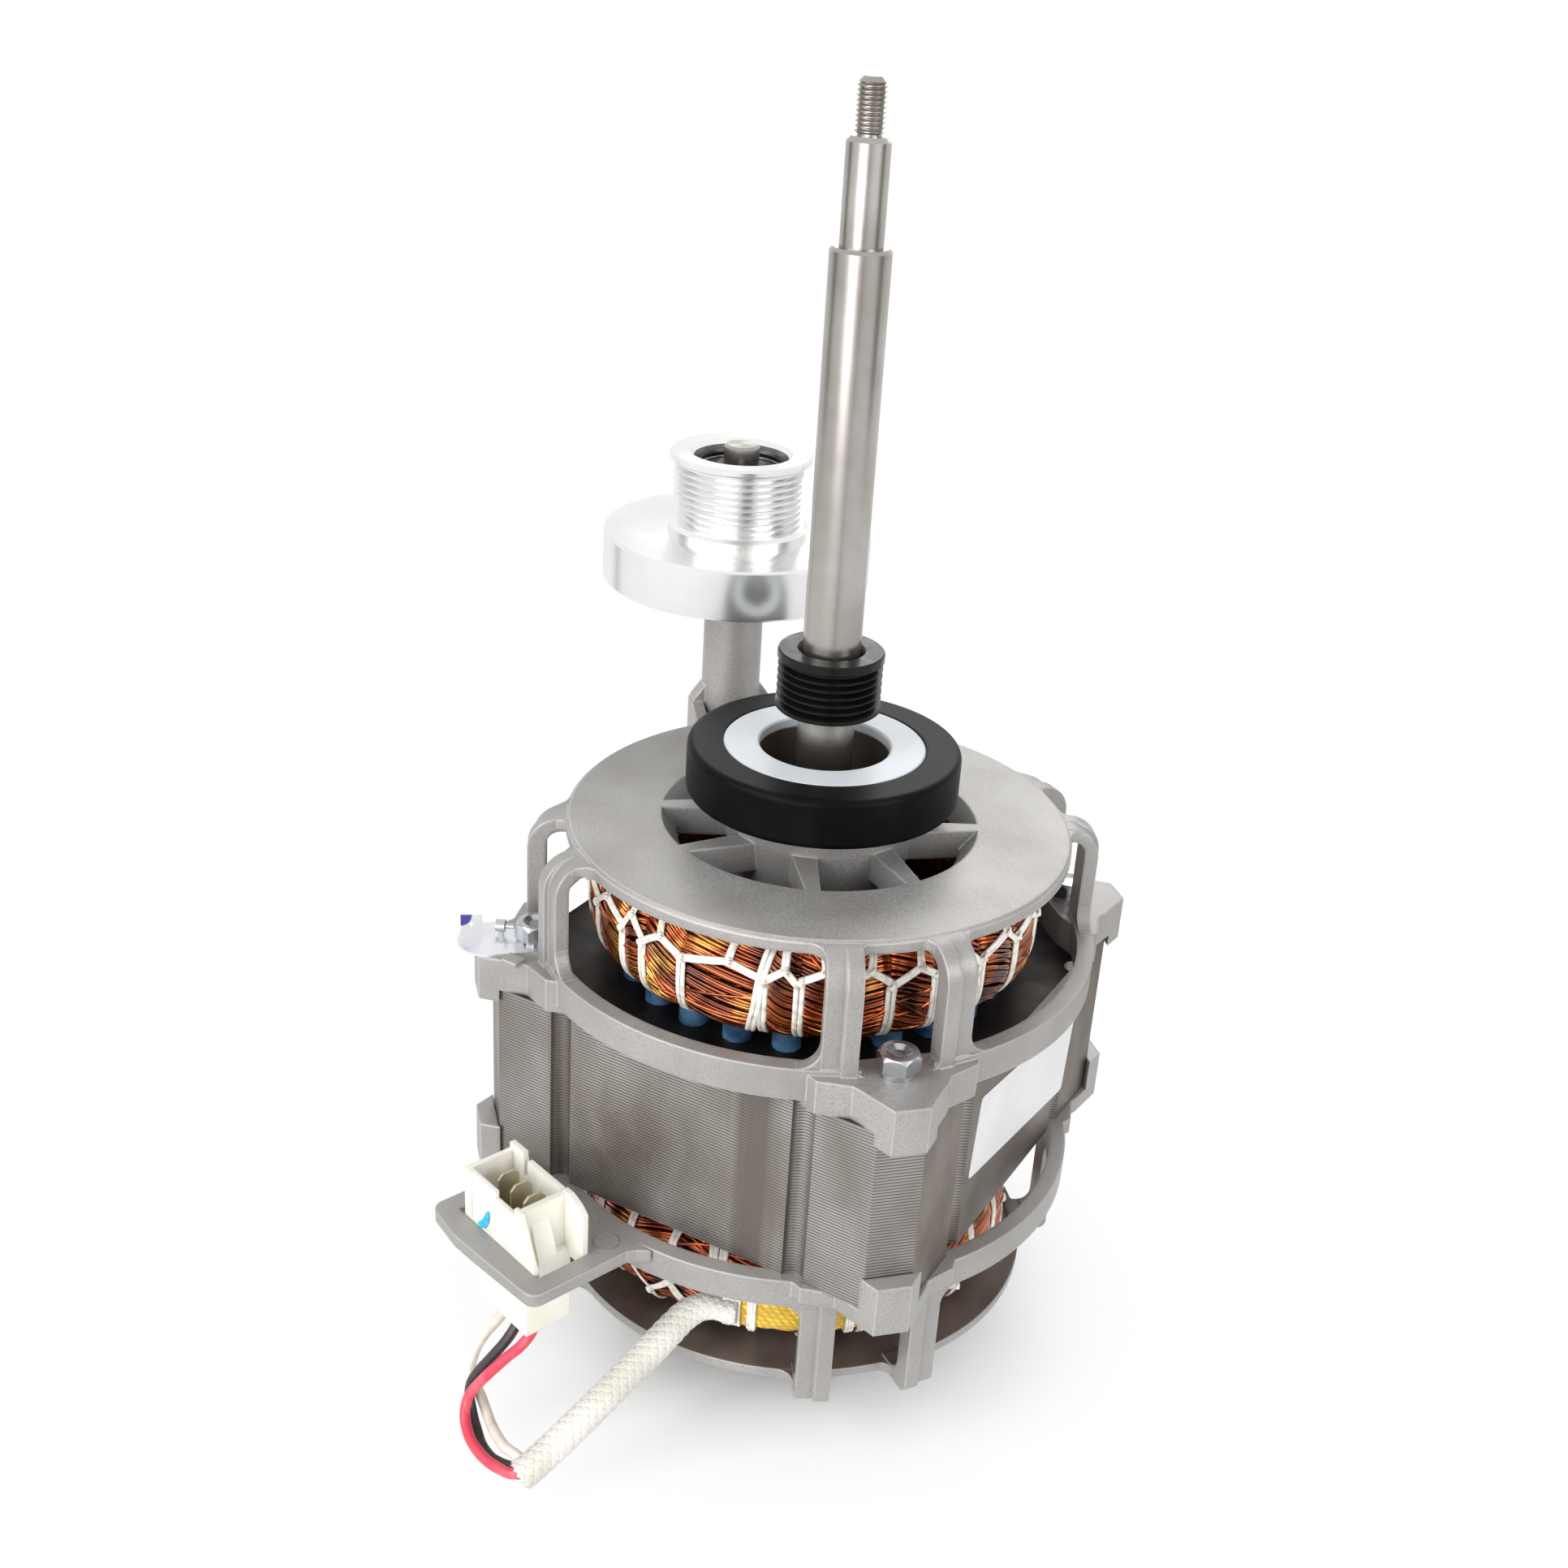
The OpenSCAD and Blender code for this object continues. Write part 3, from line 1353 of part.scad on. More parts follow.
// Thread crests as seen from the side, each a shallow tooth
function thread_outline(z0) =
    let (crest = thread_d / 2 - 0.05, root = thread_d / 2 - 0.61 * thread_pitch)
    [for (i = [0 : thread_turns - 1])
        let (z = z0 + i * thread_pitch)
        each [[root, z], [crest, z + 0.42 * thread_pitch], [crest, z + 0.55 * thread_pitch],
            [root, z + 0.97 * thread_pitch]]];

module shaft() {
    edge = 0.9;
    seat_edge = 1.3;
    root = thread_d / 2 - 0.61 * thread_pitch;
    low_seat = lower_bearing_z + bearing_w;
    tip = shaft_top_z;
    color([0.66, 0.65, 0.63])
    rotate_extrude()
    polygon(concat(
        [[0, shaft_low_z], [shaft_d / 2 - edge, shaft_low_z],
            [shaft_d / 2, shaft_low_z + edge], [shaft_d / 2, low_seat],
            [rotor_seat_d / 2, low_seat], [rotor_seat_d / 2, upper_bearing_z],
            [shaft_d / 2, upper_bearing_z], [shaft_d / 2, shoulder_z - edge],
            [shaft_d / 2 - edge, shoulder_z], [seat_d / 2, shoulder_z],
            [seat_d / 2, shoulder_z + seat_h - seat_edge],
            [seat_d / 2 - seat_edge, shoulder_z + seat_h], [root, shoulder_z + seat_h]],
        thread_outline(thread_z),
        [[root, tip - nose_h], [thread_d / 2 - 0.3, tip - nose_h + 0.3],
            [thread_d / 2 - 1.6, tip], [0, tip]]));
}

rotor_bar_r = rotor_r - bar_d / 2 - 1.2;

module rotor_core() {
    color([0.42, 0.42, 0.43])
    translate([0, 0, stack_lo_z])
    linear_extrude(stack_h)
    difference() {
        circle(r = rotor_r);
        circle(d = rotor_seat_d + 2 * fit);
        for (i = [0 : bar_count - 1])
            rotate([0, 0, i * 360 / bar_count])
            translate([rotor_bar_r, 0]) circle(d = bar_d + 2 * fit);
    }
}

module rotor_cage() {
    inner_d = 2 * (rotor_bar_r - bar_d / 2 - 2);
    outer_d = 2 * rotor_r - 1;
    color([0.80, 0.81, 0.82])
    union() {
        for (z = [stack_lo_z - end_ring_h, stack_hi_z])
            translate([0, 0, z]) ring(outer_d, inner_d, end_ring_h);
        for (i = [0 : bar_count - 1])
            rotate([0, 0, i * 360 / bar_count])
            translate([rotor_bar_r, 0, stack_lo_z - sink])
            cylinder(d = bar_d, h = stack_h + 2 * sink);
    }
}

top_end_bell();
bottom_end_bell();
stator_core();
slot_liners();
slot_wedges();
stator_winding();
top_winding_turns();
bottom_winding_turns();
top_lacing();
bottom_lacing();
protector_sleeve();
thermal_protector();
clamp_bolts();
bolt_washers();
bolt_nuts();
lock_washer();
earth_tab();
tab_pin();
upper_nylon_ring();
upper_rubber_ring();
lower_nylon_ring();
lower_rubber_ring();
upper_bearing_outer();
lower_bearing_outer();
bearing_seals();
bearing_balls();
wave_washer();
connector_housing();
connector_contacts();
lead_sleeve();
lead_white();
lead_black();
lead_red();
rating_label();
idler_pin();
idler_spacer();
idler_circlip();
idler_bearing_inner();
shaft();
rotor_core();
rotor_cage();
upper_bearing_inner();
lower_bearing_inner();
drive_pulley();
idler_pulley();
idler_bearing_outer();
idler_bearing_seals();
idler_balls();
idler_snap_ring();
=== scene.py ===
# %% [markdown]
# A resiliently mounted dryer motor, step by step
#
# The motor is a steel stack with a copper winding, held between two open aluminium end bells by
# four long bolts. A shaft turns in two ball bearings, and a second, stepped pulley turns on a fixed
# pin beside it. The solid model of all this is loaded first and stays where it is. Each cell then
# adds a finish or a piece that solids can't show well: wire, lacing cord, braid, cast skin.

# %% Load the solid model
import math
import bpy
import numpy as np
from mathutils import Matrix, Vector


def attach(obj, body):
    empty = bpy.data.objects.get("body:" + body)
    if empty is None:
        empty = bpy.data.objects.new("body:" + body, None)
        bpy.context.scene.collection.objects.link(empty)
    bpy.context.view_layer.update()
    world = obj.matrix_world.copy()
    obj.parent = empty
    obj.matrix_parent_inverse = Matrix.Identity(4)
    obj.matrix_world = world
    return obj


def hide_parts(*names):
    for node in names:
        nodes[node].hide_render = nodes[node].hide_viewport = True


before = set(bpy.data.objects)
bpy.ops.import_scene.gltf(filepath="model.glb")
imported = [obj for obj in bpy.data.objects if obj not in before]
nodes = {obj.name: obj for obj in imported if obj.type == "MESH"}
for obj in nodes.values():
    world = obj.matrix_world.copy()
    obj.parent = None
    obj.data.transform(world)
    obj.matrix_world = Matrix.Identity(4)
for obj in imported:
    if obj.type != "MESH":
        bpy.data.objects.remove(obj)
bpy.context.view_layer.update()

MM = 0.001

# %% [markdown]
# The camera
#
# A photograph fixes three directions: to the right, up, and into the picture. Here they were found
# from edges of known size on the motor, such as the bolt heads and the two belt pulleys. A camera
# in Blender looks along its own minus Z, so the third column of its matrix is turned round.

# %% Camera
to_right = (0.864357, 0.499535, 0.057899)
to_up = (-0.258748, 0.343057, 0.902974)
to_back = (0.431204, -0.795472, 0.425777)
camera_place = Vector((235.448, -458.148, 428.205)) * MM
camera_data = bpy.data.cameras.new("studio_camera")
camera_data.sensor_width = 36
camera_data.lens = 43.42
camera_data.clip_start = 0.01
camera = bpy.data.objects.new("studio_camera", camera_data)
bpy.context.collection.objects.link(camera)
stand = Matrix((to_right, to_up, to_back)).transposed().to_4x4()
stand.translation = camera_place
camera.matrix_world = stand
bpy.context.scene.camera = camera
bpy.context.scene.view_settings.view_transform = "Standard"
print("camera height", round(camera.location.z, 3), "m, lens", camera_data.lens, "mm")

# %% [markdown]
# The braided sleeve and its three leads
#
# A glass-fibre sleeve comes out beside the lower winding, under the ring, and falls outwards. The
# three silicone leads leave its open end, curl back and climb into the connector. Each is a real
# length of something limp, so its line is drawn first, and the pieces follow the line. The points
# are the same ones that the solid model uses; a smooth curve through them gives the line.

# %% Routes of the cords, in millimetres
sleeve_route = [(21.8, -72.4, 47), (18.5, -73.5, 47), (14.3, -74.4, 47), (10.9, -76, 46),
    (8.2, -79, 44), (6.4, -82.7, 41.5), (4.4, -88.1, 38), (1, -95.8, 32.5),
    (-2.5, -103.1, 27), (-6, -110.3, 21.5), (-9.7, -117.1, 16), (-13.4, -123.9, 10.8),
    (-15.8, -127.4, 8)]
red_route = [(-28.3, -105.4, 43.5), (-28.3, -105.5, 41), (-28.8, -106.2, 38),
    (-31, -108.5, 34), (-34.2, -110.4, 30), (-37.1, -112.6, 26), (-39.9, -114, 22),
    (-42.3, -115.6, 18), (-43.7, -116.9, 14.8), (-43.6, -118.5, 11.8), (-42.2, -120.5, 9.8),
    (-40, -122.4, 8.5), (-36.6, -124.8, 7.9), (-32, -127, 7.6), (-27.2, -128.5, 7.6),
    (-22.5, -129.2, 8), (-19, -129.4, 8.5), (-15.6, -128.6, 9.4)]
black_route = [(-34.6, -103.3, 43.5), (-34.6, -103.5, 40.6), (-35.2, -104.9, 37.3),
    (-36.5, -107.1, 33.5), (-38.6, -109, 29.5), (-41, -110.4, 25.5), (-43.8, -111.6, 20.8),
    (-45.8, -112.6, 16.3), (-46, -113.6, 11.5), (-43.5, -115.6, 7.8), (-40.1, -118, 5.6),
    (-35.2, -121.6, 4.4), (-30.2, -123.8, 4.1), (-25.8, -124.6, 4.6), (-22, -124.9, 5.6),
    (-19, -125, 6.4), (-16.4, -125, 7)]
white_route = [(-40.9, -101.3, 43.5), (-40.9, -101.5, 40.6), (-41.7, -102.6, 37.5),
    (-43.4, -104.3, 34.3), (-45.6, -105.9, 30.5), (-47.3, -107.4, 26.5), (-48.5, -108.4, 22),
    (-49, -109, 17.5), (-47.8, -109.3, 13), (-44.6, -110.3, 10.2), (-41, -112.5, 8.8),
    (-36.5, -115.8, 8), (-31.2, -119.3, 8.2), (-26, -122.4, 9.2), (-21.5, -124.2, 10.7),
    (-17.2, -125.5, 11.2)]
print("points of the sleeve's route:", len(sleeve_route))

# %% [markdown]
# A smooth curve through points is a Catmull-Rom spline: between two points it bends by the two
# beyond them. Its points come out unevenly spaced, so a second helper spaces them evenly, which a
# braid needs.

# %% Smooth and even lines
def smooth_line(points, steps=8):
    """A smooth line through points given in millimetres; the result is in metres."""
    p = np.asarray(points, float) * MM
    p = np.vstack([2 * p[0] - p[1], p, 2 * p[-1] - p[-2]])
    line = []
    for i in range(1, len(p) - 2):
        for t in np.linspace(0, 1, steps, endpoint=False):
            a, b, c, d = p[i - 1], p[i], p[i + 1], p[i + 2]
            line.append(0.5 * (2 * b + (c - a) * t + (2 * a - 5 * b + 4 * c - d) * t * t
                               + (3 * b - a - 3 * c + d) * t ** 3))
    line.append(p[-2])
    return np.array(line)


def run_along(line):
    """How far each point lies along the line."""
    return np.concatenate([[0], np.cumsum(np.linalg.norm(np.diff(line, axis=0), axis=1))])


def line_length(line):
    """Metres from one end of the line to the other."""
    return float(np.linalg.norm(np.diff(line, axis=0), axis=1).sum())


def even_line(line, count):
    """The same line with evenly spaced points."""
    run = run_along(line)
    want = np.linspace(0, run[-1], count)
    return np.stack([np.interp(want, run, line[:, k]) for k in range(3)], axis=1)


print("sleeve along its line:", round(line_length(smooth_line(sleeve_route)) / MM, 1), "mm")

# %% [markdown]
# Finishes as small node networks
#
# A finish here is one Principled shader whose colour, roughness and relief come from noise and
# bands at the size that the real surface has. Numbers that are the same everywhere are typed
# straight into the shader. Colours are read off the photograph as 0 to 255 values, which are bent
# by the screen's curve, so a helper straightens them for the shader.

# %% Colours and plain finishes
def seen(red, green, blue):
    """A colour as a screen shows it, made straight for the shader."""
    def straight(v):
        v = v / 255
        return v / 12.92 if v <= 0.04045 else ((v + 0.055) / 1.055) ** 2.4
    return (straight(red), straight(green), straight(blue))


def new_finish(name, colour, rough, metal=0.0, **others):
    """A material with one Principled shader; others are named by their sockets."""
    finish = bpy.data.materials.new(name)
    finish.use_nodes = True
    shader = finish.node_tree.nodes["Principled BSDF"]
    shader.inputs["Base Color"].default_value = (*colour, 1)
    shader.inputs["Roughness"].default_value = rough
    shader.inputs["Metallic"].default_value = metal
    for socket, value in others.items():
        shader.inputs[socket.replace("_", " ")].default_value = value
    return finish


print("the screen's middle grey is", round(seen(128, 128, 128)[0], 3), "to the shader")

# %% [markdown]
# Adding a node takes three steps: make it, set its values, join its inputs. One helper does all
# three, for a finish and for the world alike.

# %% Nodes
def add_node(owner, kind, links=(), **settings):
    """A node of that kind; links are (input name or number, output socket) pairs."""
    node = owner.node_tree.nodes.new("ShaderNode" + kind)
    for key, value in settings.items():
        if hasattr(node, key):
            setattr(node, key, value)
        else:
            node.inputs[key.replace("_", " ")].default_value = value
    for where, source in links:
        owner.node_tree.links.new(source, node.inputs[where])
    return node


print("one helper adds nodes")

# %% [markdown]
# Patterns are placed by the object's own coordinates, so they move with the piece when a joint
# turns, and their sizes can be given in metres. Noise gives blotches of a chosen size, which serve
# for stains, wear and grain alike.

# %% Noise
def object_place(finish):
    """Where a point lies on its object, in metres."""
    return add_node(finish, "TexCoord").outputs["Object"]


def stretched_place(finish, scale=(1, 1, 1)):
    """The same, with the pattern pressed together along each direction by its scale."""
    moved = add_node(finish, "Mapping", [("Vector", object_place(finish))])
    moved.inputs["Scale"].default_value = scale
    return moved.outputs[0]


def noise(finish, size, detail=4.0, scale=(1, 1, 1)):
    """Noise whose blotches are about size metres across."""
    made = add_node(finish, "TexNoise", [("Vector", stretched_place(finish, scale))])
    made.inputs["Scale"].default_value = 1 / size
    made.inputs["Detail"].default_value = detail
    return made.outputs["Fac"]


print("noise scale for blotches of 1 mm:", round(1 / MM))

# %% [markdown]
# A pattern can blend two colours. The mask is first stretched, so that only part of its range
# blends and the rest is one colour or the other. Blends can be laid over each other, because each
# of the two colours may also be what an earlier blend gives.

# %% Blends of colours
def two_colours(finish, mask, low, high, span=(0.35, 0.65)):
    """Blends two colours by a mask; each is a colour or what another node gives."""
    ramp = add_node(finish, "MapRange", [(0, mask)])
    ramp.inputs[1].default_value, ramp.inputs[2].default_value = span
    mix = add_node(finish, "Mix", data_type="RGBA")
    finish.node_tree.links.new(ramp.outputs[0], mix.inputs[0])
    for socket, value in ((mix.inputs[6], low), (mix.inputs[7], high)):
        if isinstance(value, tuple):
            socket.default_value = (*value, 1)
        else:
            finish.node_tree.links.new(value, socket)
    return mix.outputs[2]


def use(finish, socket, source):
    """Joins a pattern to a socket of the finish's shader."""
    shader = finish.node_tree.nodes["Principled BSDF"]
    finish.node_tree.links.new(source, shader.inputs[socket])


def mottle(finish, size, low, high, detail=4.0, span=(0.35, 0.65)):
    """Lets the colour wander between two shades, in blotches of about size metres."""
    use(finish, "Base Color", two_colours(finish, noise(finish, size, detail), low, high, span))


print("colour helpers are ready")

# %% [markdown]
# A pattern can also raise a relief. Relief here only tilts the shading, which is enough for the
# grain of a skin. The outline of every piece is mesh. Where an edge should look a little rounded,
# a bevel node comes before the bumps.

# %% Relief
def relief(finish, heights, rounded=0.0):
    """Bumps stacked on each other: (height source, strength, depth in metres)."""
    last = None
    if rounded:
        bevel = add_node(finish, "Bevel", samples=4)
        bevel.inputs["Radius"].default_value = rounded
        last = bevel.outputs[0]
    for height, strength, depth in heights:
        bump = add_node(finish, "Bump", [("Height", height)])
        bump.inputs["Strength"].default_value = strength
        bump.inputs["Distance"].default_value = depth
        if last is not None:
            finish.node_tree.links.new(last, bump.inputs["Normal"])
        last = bump.outputs[0]
    use(finish, "Normal", last)


print("bumps can be stacked")

# %% [markdown]
# The sleeve is off-white glass yarn, and the little that shows between the yarns is a darker
# lining, painted shade inside the sleeve. The silicone skins are satin, and each is a shade paler
# where it has been rubbed.

# %% Finishes of the sleeve and the leads
braid = new_finish("braided_glass", seen(206, 203, 194), 0.62, Sheen_Weight=0.1)
mottle(braid, 0.012, seen(198, 194, 184), seen(216, 214, 207), 3)
relief(braid, [(noise(braid, 0.0003, 2), 0.25, 0.0002)])
# The lining's darker beige is painted shade inside the sleeve.
under_braid = new_finish("shade_under_the_braid", seen(172, 167, 156), 0.8)
relief(under_braid, [(noise(under_braid, 0.0005, 3), 0.4, 0.0003)])
lead_skins = {}
for colour_name, colour, worn in (("white", seen(228, 222, 210), seen(205, 190, 176)),
                                  ("black", seen(52, 47, 48), seen(74, 66, 66)),
                                  ("red", seen(214, 62, 84), seen(226, 104, 116))):
    skin = new_finish("lead_skin_" + colour_name, colour, 0.42, Coat_Weight=0.15)
    mottle(skin, 0.006, colour, worn, 5, (0.5, 0.75))
    relief(skin, [(noise(skin, 0.001, 3), 0.15, 0.0002)])
    lead_skins[colour_name] = skin
print("cord finishes:", 2 + len(lead_skins))

# %% [markdown]
# Tubes for everything that is wound, laced or braided
#
# Wire, cord and braid are all thin tubes that follow a line. A curve object with a bevel would do
# for one of them, but there are thousands here, so one mesh holds many tubes. A tube is a row of
# small rings. Each ring needs a sideways direction; it comes from a direction given with the line,
# the lean, which the line never runs along, and so the tube can't twist.

# %% Tubes
def unit(v):
    """The same directions, each made one long."""
    return v / np.maximum(np.linalg.norm(v, axis=-1, keepdims=True), 1e-12)


def wall_faces(rings, sides, closed=False):
    """Faces that join rings of corners; an open row of rings gets a cap at each end."""
    faces = []
    for i in range(rings if closed else rings - 1):
        j = (i + 1) % rings
        for k in range(sides):
            m = (k + 1) % sides
            faces.append((i * sides + k, i * sides + m, j * sides + m, j * sides + k))
    if not closed:
        faces.append(tuple(range(sides - 1, -1, -1)))
        faces.append(tuple(range((rings - 1) * sides, rings * sides)))
    return faces


def tube(path, radius, sides=6, lean=(0, 0, 1), closed=False, flat=1.0):
    """Corners and faces of a tube; radius may be one number or one for each point."""
    path = np.asarray(path, float)
    if closed:
        along = unit(np.roll(path, -1, 0) - np.roll(path, 1, 0))
    else:
        along = unit(np.gradient(path, axis=0))
    lean = np.broadcast_to(np.asarray(lean, float), path.shape)
    side = unit(np.cross(along, lean))
    out = unit(np.cross(along, side))
    turn = np.linspace(0, 2 * np.pi, sides, endpoint=False)
    radius = np.broadcast_to(np.asarray(radius, float), (len(path),))[:, None, None]
    ring = path[:, None] + radius * (side[:, None] * np.cos(turn)[:, None]
                                     + out[:, None] * np.sin(turn)[:, None] * flat)
    return ring.reshape(-1, 3), wall_faces(len(path), sides, closed)


print("a tube of two rings has", len(wall_faces(2, 6)), "faces, with its caps")

# %% [markdown]
# The braid could be a pattern on a smooth tube, but its edge would then stay straight, and from
# close by that looks wrong. So the yarns are there: one set climbs round the line to the left and
# one to the right, and each yarn rises and dips in turn, as in a real braid. The sleeve is squeezed
# and creased where it leaves the winding.

# %% Yarns of the sleeve
sleeve_radius = 4.75 * MM
yarn_radius = 0.42 * MM
sleeve_rings = 200
yarns, lay = 14, 0.021  # yarns each way, and metres along the line for one turn


def round_the_line(line, angles, radii, lean=(0, 0, 1)):
    """Points beside a line, at an angle and a distance for each of its points."""
    along = unit(np.gradient(line, axis=0))
    side = unit(np.cross(along, np.broadcast_to(np.asarray(lean, float), line.shape)))
    out = unit(np.cross(along, side))
    return line + radii[:, None] * (side * np.cos(angles)[:, None]
                                    + out * np.sin(angles)[:, None])


sleeve_line = even_line(smooth_line(sleeve_route, 12), sleeve_rings)
run = np.linspace(0, line_length(sleeve_line), sleeve_rings)
pinch = 1 - 0.26 * np.exp(-(run / 0.013) ** 2) + 0.03 * np.sin(run * 900) * np.exp(-run / 0.012)
flare = 1 + 0.02 * np.exp(-((run - run[-1]) / 0.003) ** 2)
body_radius = (sleeve_radius - 2 * yarn_radius) * pinch * flare
sleeve_parts = []
for way in (1, -1):
    for k in range(yarns):
        angle = way * (2 * np.pi * run / lay) + 2 * np.pi * k / yarns
        over = way * np.sin(run * 2 * np.pi * yarns / lay + k * np.pi)
        radii = body_radius + yarn_radius * (0.85 + 0.45 * over)
        yarn = round_the_line(sleeve_line, angle, radii)
        lean = unit(yarn - sleeve_line)
        sleeve_parts.append(tube(yarn, yarn_radius * 1.72, 8, lean, flat=0.42))
print("yarns:", len(sleeve_parts))

# %% [markdown]
# A piece is one object made from many such parts. Joining thousands of objects would be slow, so
# the corners go into one list and each part's faces are moved on by the corners before them. The
# piece then rides on a body of the motor, names the finish it takes, and may stand for a solid.

# %% Pieces
def make_piece(name, parts, finish, body, stands_for=(), smooth=True):
    """One object from many (corners, faces) parts; it rides on a body of the motor."""
    corners, faces, start = [], [], 0
    for part_corners, part_faces in parts:
        corners.append(np.asarray(part_corners, float))
        faces += [tuple(start + i for i in face) for face in part_faces]
        start += len(part_corners)
    mesh = bpy.data.meshes.new(name)
    mesh.from_pydata(np.concatenate(corners).tolist(), [], faces)
    mesh.validate()
    mesh.polygons.foreach_set("use_smooth", [smooth] * len(mesh.polygons))
    mesh.materials.append(finish)
    mesh.update()
    piece = bpy.data.objects.new(name, mesh)
    bpy.context.collection.objects.link(piece)
    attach(piece, body)
    if stands_for:
        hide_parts(*stands_for)
    print(name, len(mesh.polygons), "faces")
    return piece


# %% [markdown]
# The cut end has loose fibres. They are kept short, above the floor and inside the solid model's
# box. Their places come from one source of chance with a fixed seed, which later pieces draw from
# too, so the motor comes out the same each time. A plain tube in a darker colour lines the sleeve,
# so that nothing shows through between the yarns; its darker colour is painted shade.

# %% Loose fibres and lining
rng = np.random.default_rng(7)
loose_fibres = 46
fibre_radius = 0.00011
front_limit, floor_limit = -0.1306, 0.0006
for k in range(loose_fibres):
    angle = rng.uniform(0, 2 * np.pi)
    spread = rng.uniform(0.75, 1.0)
    start = round_the_line(sleeve_line, np.full(sleeve_rings, angle), body_radius * spread)[-1]
    along = unit(sleeve_line[-1] - sleeve_line[-4])
    outwards = unit(start - sleeve_line[-1])
    reach = rng.uniform(0.0003, 0.0011)
    steps = np.linspace(0, 1, 5)[:, None]
    fibre = start + along * reach * steps + outwards * reach * 0.35 * steps ** 2
    fibre[:, 1] = np.maximum(fibre[:, 1], front_limit)
    fibre[:, 2] = np.maximum(fibre[:, 2], floor_limit)
    sleeve_parts.append(tube(fibre, fibre_radius, 4, (0.3, 0.5, 0.8)))
sleeve_piece = make_piece("braided_sleeve", sleeve_parts, braid, "stator",
                          ["lead_sleeve"])
sleeve_lining = make_piece("sleeve_lining", [tube(sleeve_line[:-3], body_radius[:-3], 24)],
                           under_braid, "stator")
print("sleeve:", round(line_length(sleeve_line) / MM, 1), "mm")

# %% [markdown]
# The leads are smooth, so each is a single tube. Its radius swells and shrinks by a hundredth, as
# soft silicone does over its strands. They run from the sleeve's end back to the connector.

# %% Three leads
lead_radius = 1.65 * MM
lead_rings = 110
for colour_name, route in (("white", white_route), ("black", black_route), ("red", red_route)):
    line = even_line(smooth_line(route[::-1], 8), lead_rings)
    swell = lead_radius * (0.985 + 0.01 * np.sin(np.linspace(0, 60, lead_rings)))
    lead_piece = make_piece("silicone_lead_" + colour_name,
                            [tube(line, swell, 16, (0.3, -0.6, 0.1))],
                            lead_skins[colour_name], "stator",
                            ["lead_" + colour_name])
    print(colour_name, "lead:", round(line_length(line) / MM, 1), "mm")

# %% [markdown]
# The winding heads
#
# Each end of the stator has a ring of varnished copper wire. Wire by wire it is hundreds of turns
# that go from slot to slot, and cord ties pull it in at each tie, so it bulges in between. The
# solid model has an oval ring there. Here each bay between two ties gets its own set of wires
# along that oval. They run side by side at a slant that changes from bay to bay, and dive under
# the ties, where one set takes over from the next. A few stray wires lie across the top.

# %% Shape of the wound ring
head_mid_r, head_half_w, head_half_h, head_mid_z = 56.6, 12.9, 16.4, 23.2
stack_top, stack_low = 130.2, 70.2
upper_ties = [245.5, 253.5, 266, 287, 295.5, 306, 317, 328.5, 342.5, 357, 371, 386, 400, 413,
              427, 441, 454, 468, 482, 495, 509, 523, 536, 550, 564, 577, 591, 605.5]
lower_ties = [252 + 14.4 * k for k in range(26)]
pinch_depth = 0.9


def oval(t, grown):
    """Radius and height on the ring's section, t in degrees from outwards, in millimetres."""
    c, s = np.cos(np.radians(t)), np.sin(np.radians(t))
    r = head_mid_r + np.sign(c) * (head_half_w + grown) * np.abs(c) ** (2 / 3)
    z = head_mid_z + np.sign(s) * (head_half_h + grown) * np.abs(s) ** (2 / 3)
    return r, z


def bulge(angle, ties):
    """How far the skin lies in at an angle: least between two ties, most at a tie."""
    angle = np.mod(np.asarray(angle, float) - ties[0], 360) + ties[0]
    edges = np.array(ties)
    i = np.clip(np.searchsorted(edges, angle, side="right") - 1, 0, len(edges) - 2)
    part = np.clip((angle - edges[i]) / (edges[i + 1] - edges[i]), 0, 1)
    return -pinch_depth * (1 - np.sin(np.pi * part) ** 0.7)


print("ties:", len(upper_ties), "above and", len(lower_ties), "below")

# %% [markdown]
# Wires, cords and knots all lie on this skin, so each is drawn in two numbers: an angle round the
# shaft, and an angle round the ring's section. The next helpers turn these into points in space,
# and into the direction away from the skin, in which a flat cord is thin.

# %% Points on the skin
def on_head(angle, t, grown, upper, ties):
    """A point over the wound ring's skin, in metres."""
    r, z = oval(np.asarray(t, float), bulge(angle, ties) + grown)
    z = stack_top + z if upper else stack_low - z
    a = np.radians(angle)
    return np.stack([r * np.cos(a), r * np.sin(a), z], axis=-1) * MM


def off_skin(angle, t, upper):
    """The direction away from the middle of the ring's section."""
    r, z = oval(t, 0)
    return unit(np.stack([(r - head_mid_r) * np.cos(np.radians(angle)),
                          (r - head_mid_r) * np.sin(np.radians(angle)),
                          (z - head_mid_z) * (1 if upper else -1)], axis=-1))


lowest_t, highest_t = -118, 160
outline_t = np.linspace(lowest_t, highest_t, 400)
outline_r, outline_z = oval(outline_t, -0.5)
outline_run = np.concatenate([[0], np.cumsum(np.hypot(np.diff(outline_r), np.diff(outline_z)))])
print("outline of the head:", round(outline_run[-1], 1), "mm, bays:", len(upper_ties) - 1)

# %% [markdown]
# The wires of one bay start a tenth of a bay before its first tie and end a tenth after its last
# one, and sink there. Their places along the outline, their sway and their depth have a little
# chance in them, from the same seeded source as the loose fibres.

# %% Wires of a head
upper_wire, lower_wire = 1.15, 1.3  # thickness of a wire in millimetres
packing = 0.9  # distance between two wires, in thicknesses


